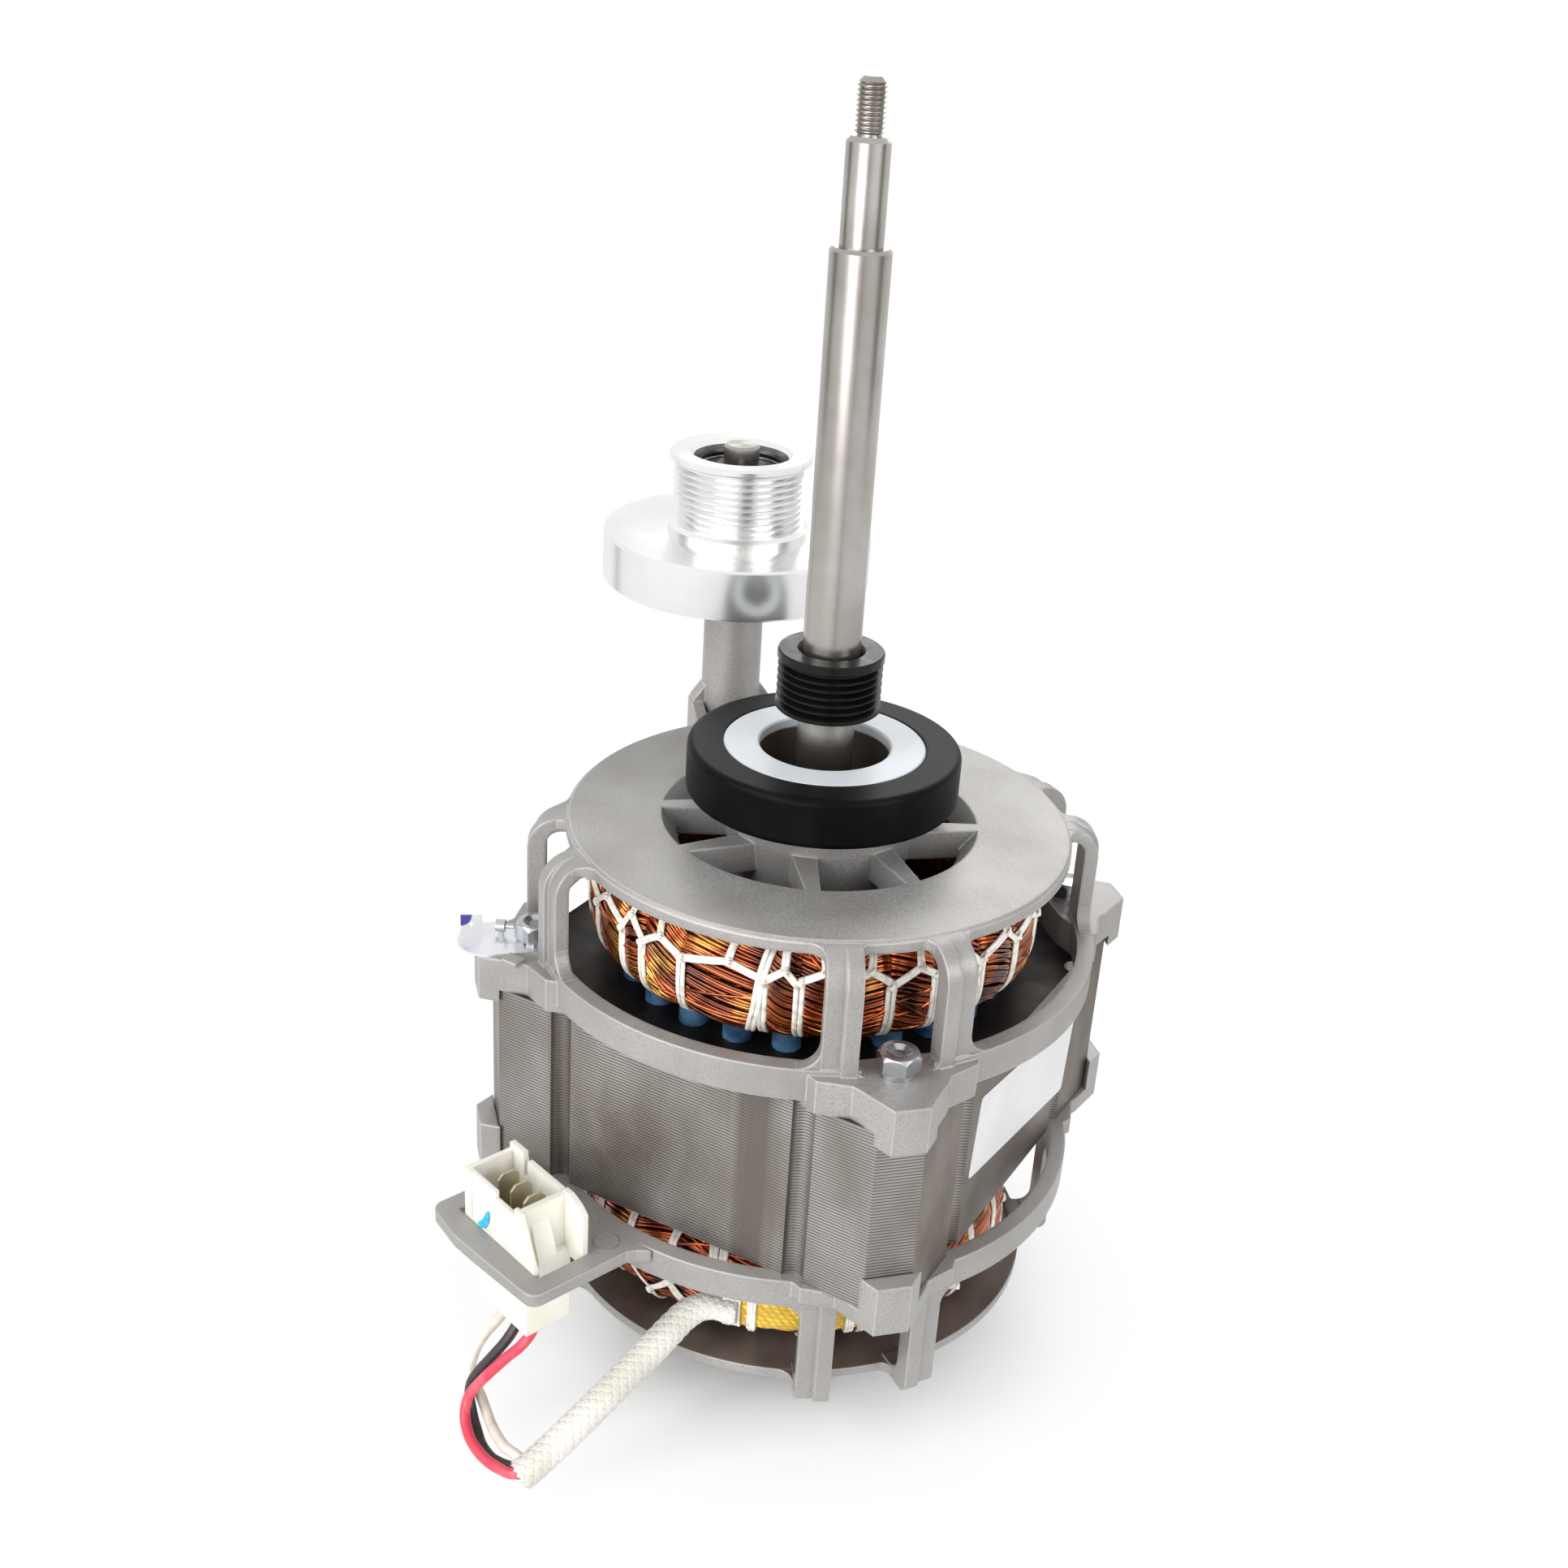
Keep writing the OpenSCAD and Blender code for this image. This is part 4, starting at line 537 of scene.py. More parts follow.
def wires_of_head(upper, ties, wire, strays):
    """Every wire of one head; wire is its thickness in millimetres, strays are for each bay."""
    parts = []
    overlap, dive_depth, stray_lift = 0.10, 1.6, 0.55
    across = np.linspace(-overlap, 1 + overlap, 9)
    dive = -dive_depth * np.clip(np.abs(across - 0.5) * 2 - 1, 0, 1) / (2 * overlap)
    starts = np.arange(0, outline_run[-1], wire * packing)
    for a0, a1 in zip(ties, ties[1:]):
        angle = a0 + (a1 - a0) * across
        slant = rng.uniform(2.0, 8.5) * (1 if rng.random() < 0.75 else -0.5)
        sway = rng.uniform(-1.2, 1.2)
        rows = [(start, slant, 0.0) for start in starts]
        rows += [(rng.uniform(4, outline_run[-1] - 6), slant + rng.uniform(-9, 9), stray_lift)
                 for _ in range(strays)]
        for start, lean_over, lift in rows:
            waver = rng.normal(0, 0.25) + 0.3 * rng.normal() * np.sin(np.pi * across)
            run = start - lean_over * (across - 0.5) + sway * np.sin(np.pi * across) + waver
            t = np.interp(np.clip(run, 0, outline_run[-1]), outline_run, outline_t)
            height = -wire / 2 - abs(rng.normal(0, 0.14)) + dive + lift
            line = on_head(angle, t, height, upper, ties)
            parts.append(tube(line, wire / 2 * MM, 5, off_skin(angle, t, upper)))
    return parts


print("wires in a bay of the upper head:",
      len(np.arange(0, outline_run[-1], upper_wire * packing)))

# %% [markdown]
# The varnish makes the copper anything from cream to dark brown. Every wire is an island of the
# mesh, and a random number for each island gives each wire a tone of its own. Two slow noises lay
# amber and dark patches over many wires at once, and a clear coat gives the varnish its glints.

# %% Copper, and both heads
copper = new_finish("varnished_copper", seen(196, 98, 44), 0.2, 0.9, Coat_Weight=0.8,
                    Coat_Roughness=0.08)
island = add_node(copper, "NewGeometry").outputs["Random Per Island"]
wire_tone = two_colours(copper, island, seen(118, 42, 14), seen(218, 112, 48), (0.0, 1.0))
amber = two_colours(copper, noise(copper, 0.012, 2), wire_tone, seen(240, 178, 84), (0.54, 0.7))
mottle(copper, 0.015, seen(84, 30, 8), amber, 2, (0.34, 0.48))
relief(copper, [(noise(copper, 0.0022, 3), 0.3, 0.0004)])
make_piece("upper_winding_wires", wires_of_head(True, upper_ties, upper_wire, strays=7), copper,
           "stator", ["top_winding_turns"])
make_piece("lower_winding_wires", wires_of_head(False, lower_ties, lower_wire, strays=5), copper,
           "stator", ["bottom_winding_turns"])

# %% [markdown]
# The lacing
#
# The heads are laced with a flat polyester cord before they are dipped in varnish. Upright ties
# come out beside the slots and split into a Y at the widest part of the ring. The arms of two
# neighbours meet a little higher, and one strand goes on over the top. Drawing it as a texture
# would lose the knots, which stand out white and thick, so each strand is a tube on the skin.

# %% Strands
lace = new_finish("polyester_lace", seen(232, 229, 218), 0.7, Sheen_Weight=0.3)
mottle(lace, 0.003, seen(196, 184, 158), seen(240, 238, 231), 5, (0.3, 0.5))
relief(lace, [(noise(lace, 0.00035, 3, (1, 1, 0.25)), 0.5, 0.0003)])


def strand(points, upper, ties, thick=0.78, pairs=(-0.78, 0.78), sides=6):
    """Strands side by side along (angle, t) points on the skin."""
    angle, t = np.array(points, float).T
    steps = np.linspace(0, len(angle) - 1, 7 * (len(angle) - 1) + 1)
    angle = np.interp(steps, np.arange(len(angle)), angle)
    t = np.interp(steps, np.arange(len(t)), t)
    line = on_head(angle, t, thick * 0.55, upper, ties)
    out = off_skin(angle, t, upper)
    beside = unit(np.cross(unit(np.gradient(line, axis=0)), out))
    parts = []
    for shift in pairs:
        weave = shift * MM * (1 + 0.12 * np.sin(steps * 2.1 + shift * 5))
        moved = line + beside * np.atleast_1d(weave)[:, None]
        parts.append(tube(moved, thick * MM, sides, out, flat=0.62))
    return parts


print("strands in an upright:", len(strand([(0, -40), (0, 0)], True, upper_ties)))

# %% [markdown]
# A knot drawn thread by thread would hardly show at this size. Three small loops, tilted against
# each other round the joint, give the same white lump with grooves in it.

# %% Knots
def knot(angle, t, upper, ties, size=1.0):
    """Three small loops wound round a joint of strands."""
    centre = on_head(np.array([angle]), np.array([t]), 0.7, upper, ties)[0]
    out = unit(np.array([math.cos(math.radians(angle)), math.sin(math.radians(angle)), 0.15]))
    side = unit(np.cross((0, 0, 1), out))
    rise = np.cross(out, side)
    turn = np.linspace(0, 2 * np.pi, 14, endpoint=False)
    parts = []
    for k, tilt in enumerate((-0.5, 0.15, 0.75)):
        across = side * math.cos(tilt) + rise * math.sin(tilt)
        loop = (centre + out * 0.25 * MM + rise * (k - 1) * 0.45 * MM
                + 1.15 * size * MM * (across * np.cos(turn)[:, None]
                                      + out * 0.55 * np.sin(turn)[:, None]))
        parts.append(tube(loop, 0.5 * size * MM, 6, np.cross(across, out), closed=True))
    return parts


print("a knot has", len(knot(lower_ties[0], 0, False, lower_ties)), "loops")

# %% [markdown]
# One pass round the ring laces a head. At each tie it draws the upright, the two arms towards the
# meeting point, the strand over the top and the two knots. Here and there the upright is wound a
# second time. A loose tail of the lower lacing lies beside the yellow sleeve.

# %% Lacing of both heads
def lacing_of_head(upper, ties, branch_t, join_t, doubles):
    """All cords of one head; ties in doubles have a second upright."""
    parts = []
    for i, tie in enumerate(ties[:-1]):
        following = ties[i + 1]
        joint = branch_t + rng.uniform(-4, 4)
        next_joint = branch_t + rng.uniform(-3, 3)
        middle = tie + (following - tie) * rng.uniform(0.45, 0.62)
        meet = join_t + rng.uniform(-4, 4)
        parts += strand([(tie + rng.uniform(-1, 1), -92), (tie, -40), (tie, joint)], upper, ties)
        if i in doubles:
            parts += strand([(tie - 3.6, -70), (tie - 1.8, -20), (tie + 1.4, 52)], upper, ties)
        parts += strand([(tie, joint), (middle, meet)], upper, ties, 0.68, (-0.5, 0.5))
        parts += strand([(following, next_joint), (middle, meet)], upper, ties, 0.68,
                        (-0.5, 0.5))
        parts += strand([(middle, meet), (middle + rng.uniform(-2, 2), 75), (middle, 158)],
                        upper, ties, 0.68, (-0.55, 0.55))
        parts += knot(tie, joint, upper, ties)
        parts += knot(middle, meet, upper, ties, 0.85)
    return parts


up_lacing_parts = lacing_of_head(True, upper_ties, branch_t=8, join_t=24, doubles=(3,))
make_piece("upper_lacing_cords", up_lacing_parts, lace, "stator", ["top_lacing"])
low_lacing_parts = lacing_of_head(False, lower_ties, branch_t=4, join_t=24, doubles=(2,))
tail = strand([(262, -20), (265, 0), (269, 16), (274, 24), (277, 16)], False, lower_ties, 0.8,
              (-0.55, 0.55), 7)
make_piece("lower_lacing_cords", low_lacing_parts + tail, lace, "stator",
           ["bottom_lacing"])

# %% [markdown]
# The yellow sleeve on the lower winding
#
# A small temperature switch is tied to the outside of the lower head, in a woven yellow sleeve.
# The weave is two sets of fine parallel threads that cross. A wave texture gives such lines, and
# will give the steel sheets and the marks of a lathe tool too. Its scale isn't in metres, so a
# helper works it out from the pitch.

# %% Fine parallel lines
WAVE_RATE = 20  # a wave node of scale 1 turns through 20 radians in each metre


def bands(finish, pitch, direction="Z", wobble=0.0):
    """Lines across a direction, one every pitch metres."""
    wave = add_node(finish, "TexWave", [("Vector", stretched_place(finish))],
                    wave_type="BANDS", bands_direction=direction, wave_profile="SIN")
    wave.inputs["Scale"].default_value = 2 * math.pi / (WAVE_RATE * pitch)
    wave.inputs["Distortion"].default_value = wobble
    return wave.outputs["Fac"]


print("scale for a pitch of 1 mm:", round(2 * math.pi / (WAVE_RATE * MM)))

# %% [markdown]
# Threads as fine as these would be thousands of small tubes that look no better than a finish, so
# the finish draws them. One set of lines is level and the other lies on the slant. Each darkens
# the colour where its threads dip, and raises a small relief. A thin coat gives the cloth the
# shine of the varnish that it was dipped in.

# %% Yellow weave
yellow = new_finish("yellow_woven_sleeve", seen(228, 192, 34), 0.42, Sheen_Weight=0.2,
                    Coat_Weight=0.35)
weave_pitch = 0.0016
weave_a = bands(yellow, weave_pitch, "Z", wobble=1.2)
weave_b = bands(yellow, weave_pitch, "DIAGONAL", wobble=1.2)
thread = two_colours(yellow, noise(yellow, 0.003, 5, (1, 1, 2.5)), seen(206, 156, 18),
                     seen(250, 224, 54))
crossed = two_colours(yellow, weave_b, seen(200, 154, 20), thread, (0.0, 0.5))
use(yellow, "Base Color", two_colours(yellow, weave_a, seen(206, 160, 22), crossed, (0.0, 0.45)))
relief(yellow, [(weave_a, 0.5, 0.0003), (weave_b, 0.5, 0.0003)])
print("threads every", weave_pitch / MM, "mm")

# %% [markdown]
# A fabric tube with something flat inside has a rounded, uneven section. The section is therefore
# changed a little at every step along its arc, and it is pressed flatter at both ends. The same
# section, drawn again a little larger, gives the loops of cord that tie the sleeve down: a wide
# band of them at the end where the leads come out, a narrow one beside it, and one at the far end.

# %% Yellow sleeve and its ties
pouch_r, pouch_z, pouch_from, pouch_arc = 73.1, 46.4, -74, 29
pouch_sides, pouch_rings = 28, 46


def pouch_loop(angle, grown, squeeze=1.0):
    """A closed, rounded section of the pouch, in the plane through the shaft at that angle."""
    turn = np.linspace(0, 2 * np.pi, pouch_sides, endpoint=False)
    c, s = np.cos(turn), np.sin(turn)
    half_r, half_z = 2.25 * squeeze + grown, 5.4 + grown
    r = pouch_r + half_r * np.sign(c) * np.abs(c) ** 0.75
    z = pouch_z + half_z * np.sign(s) * np.abs(s) ** 0.62
    a = math.radians(angle)
    return np.stack([r * math.cos(a), r * math.sin(a), z], axis=1) * MM


pouch_corners = []
for k, angle in enumerate(np.linspace(pouch_from, pouch_from + pouch_arc, pouch_rings)):
    ends = min(k, pouch_rings - 1 - k)
    squeeze = min(1.0, 0.35 + 0.2 * ends) * (1 + 0.05 * math.sin(k * 1.3) + 0.04 * rng.normal())
    loop = pouch_loop(angle, -0.12 + 0.05 * math.sin(k * 2.1), min(squeeze, 1.02))
    loop[:, 2] += 0.00025 * np.sin(np.arange(pouch_sides) * 0.9 + k * 0.8)
    pouch_corners.append(loop)
make_piece("yellow_pouch", [(np.concatenate(pouch_corners), wall_faces(pouch_rings, pouch_sides))],
           yellow, "stator", ["protector_sleeve"])
tie_parts = []
for start, wraps in ((-76.4, 6), (-70.6, 3), (-48.2, 3)):
    for k in range(wraps):
        loop = pouch_loop(start + k * 0.72, 0.32)
        loop[:, 2] += 0.0002 * np.sin(np.arange(pouch_sides) * 0.45 + k)
        heading = math.radians(start + 90)
        tie_parts.append(tube(loop, 0.00052, 6, (math.cos(heading), math.sin(heading), 0),
                              closed=True))
make_piece("pouch_ties", tie_parts, lace, "stator")

# %% [markdown]
# Finishes of the solid pieces
#
# The castings, the steel stack, the shaft and the pulleys keep their solids. What makes them look
# real is their skin. A die casting has a fine orange-peel grain, soft edges and stains. Its edges
# carry a painted highlight: a bevel node turns the shading near an edge, and where that differs
# from the plain surface, the colour goes paler, to a light grey. No solid changes shape.

# %% Cast aluminium
grain_size, stain_size = 0.0006, 0.03
cast = new_finish("die_cast_aluminium", seen(170, 167, 164), 0.42, 0.4)
grain = noise(cast, grain_size, 3)
stain = noise(cast, stain_size, 5)
broad = two_colours(cast, stain, seen(152, 149, 146), seen(171, 169, 167), (0.34, 0.66))
grainy = two_colours(cast, grain, seen(144, 141, 138), broad, (0.26, 0.56))
print("cast skin: grain of", grain_size, "m and stains of", stain_size, "m")

# %% [markdown]
# The bore of the hub is darkened with painted shade. It needs no texture: the bore is where a
# point is nearer the shaft than the hub's inner radius. The edges that get the painted highlight
# are found with the bevel node.

# %% Painted shade in the bore and painted highlight on the edges
bore_edge = (0.0206, 0.0214)
edge_highlight_width = 0.0007
off_height = add_node(cast, "VectorMath", [(0, object_place(cast))], operation="MULTIPLY")
off_height.inputs[1].default_value = (1, 1, 0)
off_axis = add_node(cast, "VectorMath", [(0, off_height.outputs[0])], operation="LENGTH")
# Painted shade: the bore near the shaft is blended to a dark brownish grey.
bore_painted_shade = two_colours(cast, off_axis.outputs["Value"], seen(92, 84, 78), grainy, bore_edge)
# Painted highlight: where the bevel node turns the shading near an edge, the colour is blended to a
# light grey.
soft_edge = add_node(cast, "Bevel", samples=4)
soft_edge.inputs["Radius"].default_value = edge_highlight_width
plain_normal = add_node(cast, "NewGeometry").outputs["Normal"]
flatness = add_node(cast, "VectorMath", [(0, soft_edge.outputs[0]), (1, plain_normal)],
                    operation="DOT_PRODUCT")
# The light grey blended in here is the painted highlight on the edges.
skin = two_colours(cast, flatness.outputs["Value"], seen(204, 203, 201), bore_painted_shade, (0.93, 0.995))
print("bore darkened within", bore_edge[0] / MM, "mm of the axis")

# %% [markdown]
# The inside of the lower disc is painted a darker, brownish grey, as painted shade. It is the part
# of the casting that lies low and faces straight up. Each of these two tests gives 0 or 1, and
# their product is the mask. One helper does such sums, and one tells which way a surface faces.

# %% Painted shade on the floor of the lower bell
def calculate(owner, operation, first, second=None):
    """A Math node; the second value is a number or what another node gives."""
    node = add_node(owner, "Math", [(0, first)], operation=operation)
    if isinstance(second, (int, float)):
        node.inputs[1].default_value = second
    elif second is not None:
        owner.node_tree.links.new(second, node.inputs[1])
    return node.outputs[0]


def facing(finish, axis):
    """How far the surface faces along one of the motor's own directions, -1 to 1."""
    normal = add_node(finish, "NewGeometry").outputs["True Normal"]
    return add_node(finish, "SeparateXYZ", [(0, normal)]).outputs[axis]


disc_inside_top = 0.0292
object_height = add_node(cast, "SeparateXYZ", [(0, object_place(cast))]).outputs["Z"]
faces_up = calculate(cast, "GREATER_THAN", facing(cast, "Z"), 0.9)
lies_low = calculate(cast, "LESS_THAN", object_height, disc_inside_top)
inside = calculate(cast, "MULTIPLY", faces_up, lies_low)
# Painted shade: a dark brownish grey for the low, upward faces inside the lower disc.
disc_floor_painted_shade = two_colours(cast, noise(cast, stain_size, 5), seen(92, 84, 78), seen(126, 118, 110))
use(cast, "Base Color", two_colours(cast, inside, skin, disc_floor_painted_shade, (0.4, 0.6)))
# The painted shade lies on the upward faces below this height.
print("varnish lies below", round(disc_inside_top / MM, 1), "mm")

# %% [markdown]
# The grain also makes the skin rougher in some places than in others, and two bumps give it slow
# waves and orange peel. The finish then goes onto both bells. A solid has slots for materials, and
# every slot gets it. The shape stays as it was loaded.

# %% Skin of both bells
def roughness_between(finish, mask, low, high):
    """Smoother where the mask is dark, rougher where it is pale."""
    spread = add_node(finish, "MapRange", [(0, mask)])
    spread.inputs[1].default_value, spread.inputs[2].default_value = 0.3, 0.7
    spread.inputs[3].default_value, spread.inputs[4].default_value = low, high
    use(finish, "Roughness", spread.outputs[0])


def dress(finish, *names):
    """Gives solids of the loaded model a finish."""
    for name in names:
        solid = nodes[name]
        if not solid.material_slots:
            solid.data.materials.append(finish)
        for place_for_finish in solid.material_slots:
            place_for_finish.material = finish
    print(finish.name, "on", ", ".join(names))


roughness_between(cast, grain, 0.34, 0.52)
relief(cast, [(stain, 0.08, 0.001), (grain, 0.34, 0.0002)], rounded=0.0011)
dress(cast, "top_end_bell", "bottom_end_bell")

# %% [markdown]
# The stack shows the edges of its sheets as fine lines, with brown streaks down them and worn,
# paler places. Two of its sides are browner all over, and the flat ends, in the thin gap between
# the stack and the rings, are painted nearly black as painted shade. Each of these is one more
# blend over the last, steered by noise or by where the surface faces.

# %% Steel sheets of the stack
sheet_pitch = 0.001
sheets = new_finish("stacked_sheets", seen(158, 151, 145), 0.36, 0.8)
sheet_lines = bands(sheets, sheet_pitch)
worn = noise(sheets, 0.018, 5, (1, 1, 0.5))
edge_colour = two_colours(sheets, worn, seen(147, 141, 136), seen(172, 168, 164), (0.36, 0.64))
brown = two_colours(sheets, noise(sheets, 0.03, 4), seen(136, 125, 114), edge_colour,
                    (0.28, 0.44))
streaks = two_colours(sheets, noise(sheets, 0.02, 5, (1.0, 1.0, 0.02)), seen(120, 113, 106),
                      brown, (0.36, 0.46))
lined = two_colours(sheets, sheet_lines, seen(104, 98, 93), streaks, (0.0, 0.6))
side_face = calculate(sheets, "ABSOLUTE", facing(sheets, "X"))
side_brown = two_colours(sheets, noise(sheets, 0.02, 4), seen(104, 94, 85), seen(126, 117, 109))
lined = two_colours(sheets, side_face, lined, side_brown, (0.8, 0.95))
# Painted shade: the flat ends, in the gap between the stack and the rings, are blended to near
# black.
flat_end = calculate(sheets, "ABSOLUTE", facing(sheets, "Z"))
ends_painted_shade = two_colours(sheets, noise(sheets, 0.012, 4), seen(38, 35, 34), seen(62, 57, 54))
use(sheets, "Base Color", two_colours(sheets, flat_end, lined, ends_painted_shade, (0.7, 0.9)))
roughness_between(sheets, worn, 0.34, 0.52)
relief(sheets, [(sheet_lines, 0.22, 0.0002), (noise(sheets, 0.004, 4), 0.05, 0.0005)],
       rounded=0.0004)
dress(sheets, "stator_core")

# %% [markdown]
# Little of the inside is seen, through the windows of the bells: the rotor's iron with its cast
# cage, blue film round the wires where they enter the slots, and copper deep in the heads, which
# is painted darker as painted shade.

# %% Rotor, film and the core of the winding
iron = new_finish("ground_rotor_iron", seen(104, 101, 99), 0.4, 0.8)
use(iron, "Base Color", two_colours(iron, bands(iron, sheet_pitch), seen(88, 85, 83),
                                    seen(120, 117, 114)))
dress(iron, "rotor_core")
cage = new_finish("cast_cage", seen(196, 197, 199), 0.4, 0.85)
relief(cage, [(noise(cage, 0.001, 4), 0.3, 0.0003)], rounded=0.0006)
dress(cage, "rotor_cage")
film = new_finish("blue_slot_film", seen(74, 116, 158), 0.36, Coat_Weight=0.2)
mottle(film, 0.006, seen(50, 86, 124), seen(96, 140, 180))
relief(film, [(noise(film, 0.0015, 3), 0.25, 0.0004)], rounded=0.0003)
dress(film, "slot_liners")
wedge = new_finish("slot_wedge_film", seen(214, 206, 182), 0.5)
relief(wedge, [(noise(wedge, 0.001, 3), 0.2, 0.0002)])
dress(wedge, "slot_wedges")
# Painted shade: the copper deep in the heads is a darker brown than the wires over it.
deep_copper_painted_shade = new_finish("copper_in_painted_shade", seen(112, 52, 24), 0.35, 0.85)
mottle(deep_copper_painted_shade, 0.0015, seen(56, 24, 12), seen(150, 74, 34), 5)
relief(deep_copper_painted_shade, [(bands(deep_copper_painted_shade, 0.0011, "Z", wobble=3.0), 0.7, 0.0005)])
dress(deep_copper_painted_shade, "stator_winding")

# %% [markdown]
# Turned steel stretches its highlights along the shaft. Modelling the tool's fine groove would
# take far too many faces, so the shader's anisotropy does it, with hardly any relief. The bolts
# are zinc plated, smoother and bluer.

# %% Turned and plated steel
lathe_pitch = 0.0008
turned = new_finish("turned_shaft_steel", seen(172, 167, 161), 0.26, 0.95, Anisotropic=0.5)
mottle(turned, 0.03, seen(160, 154, 148), seen(184, 180, 175))
roughness_between(turned, noise(turned, 0.04, 2), 0.25, 0.29)
relief(turned, [(bands(turned, lathe_pitch), 0.02, 0.00005)])
dress(turned, "shaft", "idler_pin", "idler_spacer")
zinc = new_finish("bright_zinc", seen(190, 192, 196), 0.2, 0.92)
mottle(zinc, 0.01, seen(176, 178, 182), seen(204, 206, 210), 3)
relief(zinc, [(noise(zinc, 0.004, 3), 0.03, 0.0002)], rounded=0.0003)
dress(zinc, "clamp_bolts", "bolt_washers", "bolt_nuts", "lock_washer", "tab_pin")

# %% [markdown]
# The earth tab is tinned, and one corner carries a dab of violet ink. The corner is found as the
# highest, outermost point of the tab's own mesh, and the ink covers what is near it.

# %% Earth tab
ink_edge = (0.0032, 0.0036)
tab_metal = new_finish("tinned_tab", seen(226, 227, 230), 0.28, 0.75)
tab_corner = max((v.co for v in nodes["earth_tab"].data.vertices),
                 key=lambda co: 2 * co.z - co.x - 0.5 * co.y)
from_corner = add_node(tab_metal, "VectorMath", [(0, object_place(tab_metal))],
                       operation="DISTANCE")
from_corner.inputs[1].default_value = tab_corner
use(tab_metal, "Base Color", two_colours(tab_metal, from_corner.outputs["Value"],
                                         seen(84, 76, 158), seen(226, 227, 230), ink_edge))
relief(tab_metal, [(noise(tab_metal, 0.003, 3), 0.04, 0.0002)])
dress(tab_metal, "earth_tab")

# %% [markdown]
# Bearing rings and balls are ground, so they are the brightest steel here. The spring rings and
# the wave washer are blackened and oily, and the seals between the rings are black rubber.

# %% Bearings and springs
ground = new_finish("ground_bearing_steel", seen(190, 191, 194), 0.18, 0.95)
relief(ground, [(noise(ground, 0.0006, 3), 0.06, 0.0001)], rounded=0.0004)
dress(ground, "upper_bearing_outer", "lower_bearing_outer", "bearing_balls",
      "upper_bearing_inner", "lower_bearing_inner", "idler_bearing_inner",
      "idler_bearing_outer", "idler_balls")
oiled = new_finish("oiled_spring_steel", seen(20, 19, 19), 0.4, Specular_IOR_Level=0.15)
relief(oiled, [(noise(oiled, 0.0008, 3), 0.15, 0.0002)], rounded=0.0003)
dress(oiled, "wave_washer", "idler_circlip", "idler_snap_ring")
seal = new_finish("bearing_seal_rubber", seen(14, 14, 14), 0.5, Specular_IOR_Level=0.12)
relief(seal, [(noise(seal, 0.0007, 3), 0.15, 0.0002)])
dress(seal, "bearing_seals", "idler_bearing_seals")
switch_steel = new_finish("switch_case_steel", seen(188, 188, 192), 0.3, 0.9)
dress(switch_steel, "thermal_protector")

# %% [markdown]
# The two pulleys, the rings and the plastics
#
# The large pulley is turned aluminium, polished almost to a mirror, and faint rings from the lathe
# pull its reflections out into bands. The small one is black moulded plastic. The hub rings are a
# bluish nylon and black rubber, and the connector is an ivory nylon with rounded edges.

# %% Pulley finishes
polished = new_finish("polished_aluminium", seen(238, 238, 238), 0.2, 0.9, Anisotropic=0.75)
mottle(polished, 0.03, seen(232, 232, 232), seen(244, 244, 243))
roughness_between(polished, noise(polished, 0.03, 2), 0.17, 0.22)
relief(polished, [(bands(polished, lathe_pitch), 0.02, 0.00005)])
dress(polished, "idler_pulley")
moulded_black = new_finish("black_moulded_pulley", seen(12, 12, 13), 0.26,
                           Specular_IOR_Level=0.22)
mottle(moulded_black, 0.01, seen(8, 8, 9), seen(16, 16, 17), 5)
roughness_between(moulded_black, noise(moulded_black, 0.004, 4), 0.2, 0.32)
relief(moulded_black, [(noise(moulded_black, 0.002, 3), 0.05, 0.0002)])
dress(moulded_black, "drive_pulley")

# %% [markdown]
# Black rubber is easily made too grey. Its colour stays close to black, and its specular level is
# low, so that the lamps leave only a faint sheen on its rounded edge. Nylon lets a little light in
# below its skin, which a small subsurface weight gives.

# %% Hub rings
nylon = new_finish("hub_nylon", seen(212, 215, 220), 0.4, Subsurface_Weight=0.06)
mottle(nylon, 0.03, seen(206, 210, 215), seen(214, 217, 221), 3)
relief(nylon, [(noise(nylon, 0.0014, 3), 0.03, 0.0002)], rounded=0.0008)
dress(nylon, "upper_nylon_ring", "lower_nylon_ring")
rubber = new_finish("mounting_rubber", seen(8, 8, 10), 0.42, Specular_IOR_Level=0.09)
mottle(rubber, 0.012, seen(4, 4, 6), seen(14, 14, 16), 5, (0.45, 0.75))
relief(rubber, [(noise(rubber, 0.0008, 4), 0.12, 0.0002)], rounded=0.0010)
dress(rubber, "upper_rubber_ring", "lower_rubber_ring")

# %% [markdown]
# The connector is an old ivory, warmer than the label's paper. Both are pale, so they stay a
# little under white, or the lamps would wash their grain out. The contacts are tinned brass.

# %% Connector, contacts and label
ivory = new_finish("ivory_connector", seen(234, 230, 218), 0.38, Subsurface_Weight=0.08)
mottle(ivory, 0.02, seen(230, 226, 213), seen(237, 234, 225), 3)
relief(ivory, [(noise(ivory, 0.001, 3), 0.08, 0.0002)], rounded=0.0005)
dress(ivory, "connector_housing")
contact = new_finish("folded_contact", seen(196, 188, 160), 0.3, 0.7)
relief(contact, [(noise(contact, 0.0008, 3), 0.15, 0.0002)], rounded=0.0002)
dress(contact, "connector_contacts")
paper = new_finish("bare_label", seen(214, 214, 215), 0.46)
mottle(paper, 0.02, seen(210, 210, 211), seen(217, 217, 217), 3)
relief(paper, [(noise(paper, 0.002, 3), 0.05, 0.0002)])
dress(paper, "rating_label")
print("solids dressed:", len([n for n in nodes.values() if n.material_slots]))

# %% [markdown]
# Fillets of the castings
#
# Molten metal doesn't run well into sharp inner corners, so a die casting is rounded where its
# arms meet the ring and the disc. The solids leave these corners square. Each fillet is a short
# bar whose section is a triangle with a hollow side, sunk a little into the casting. One helper
# makes the bar from a corner point and the two directions that lead away from the corner.

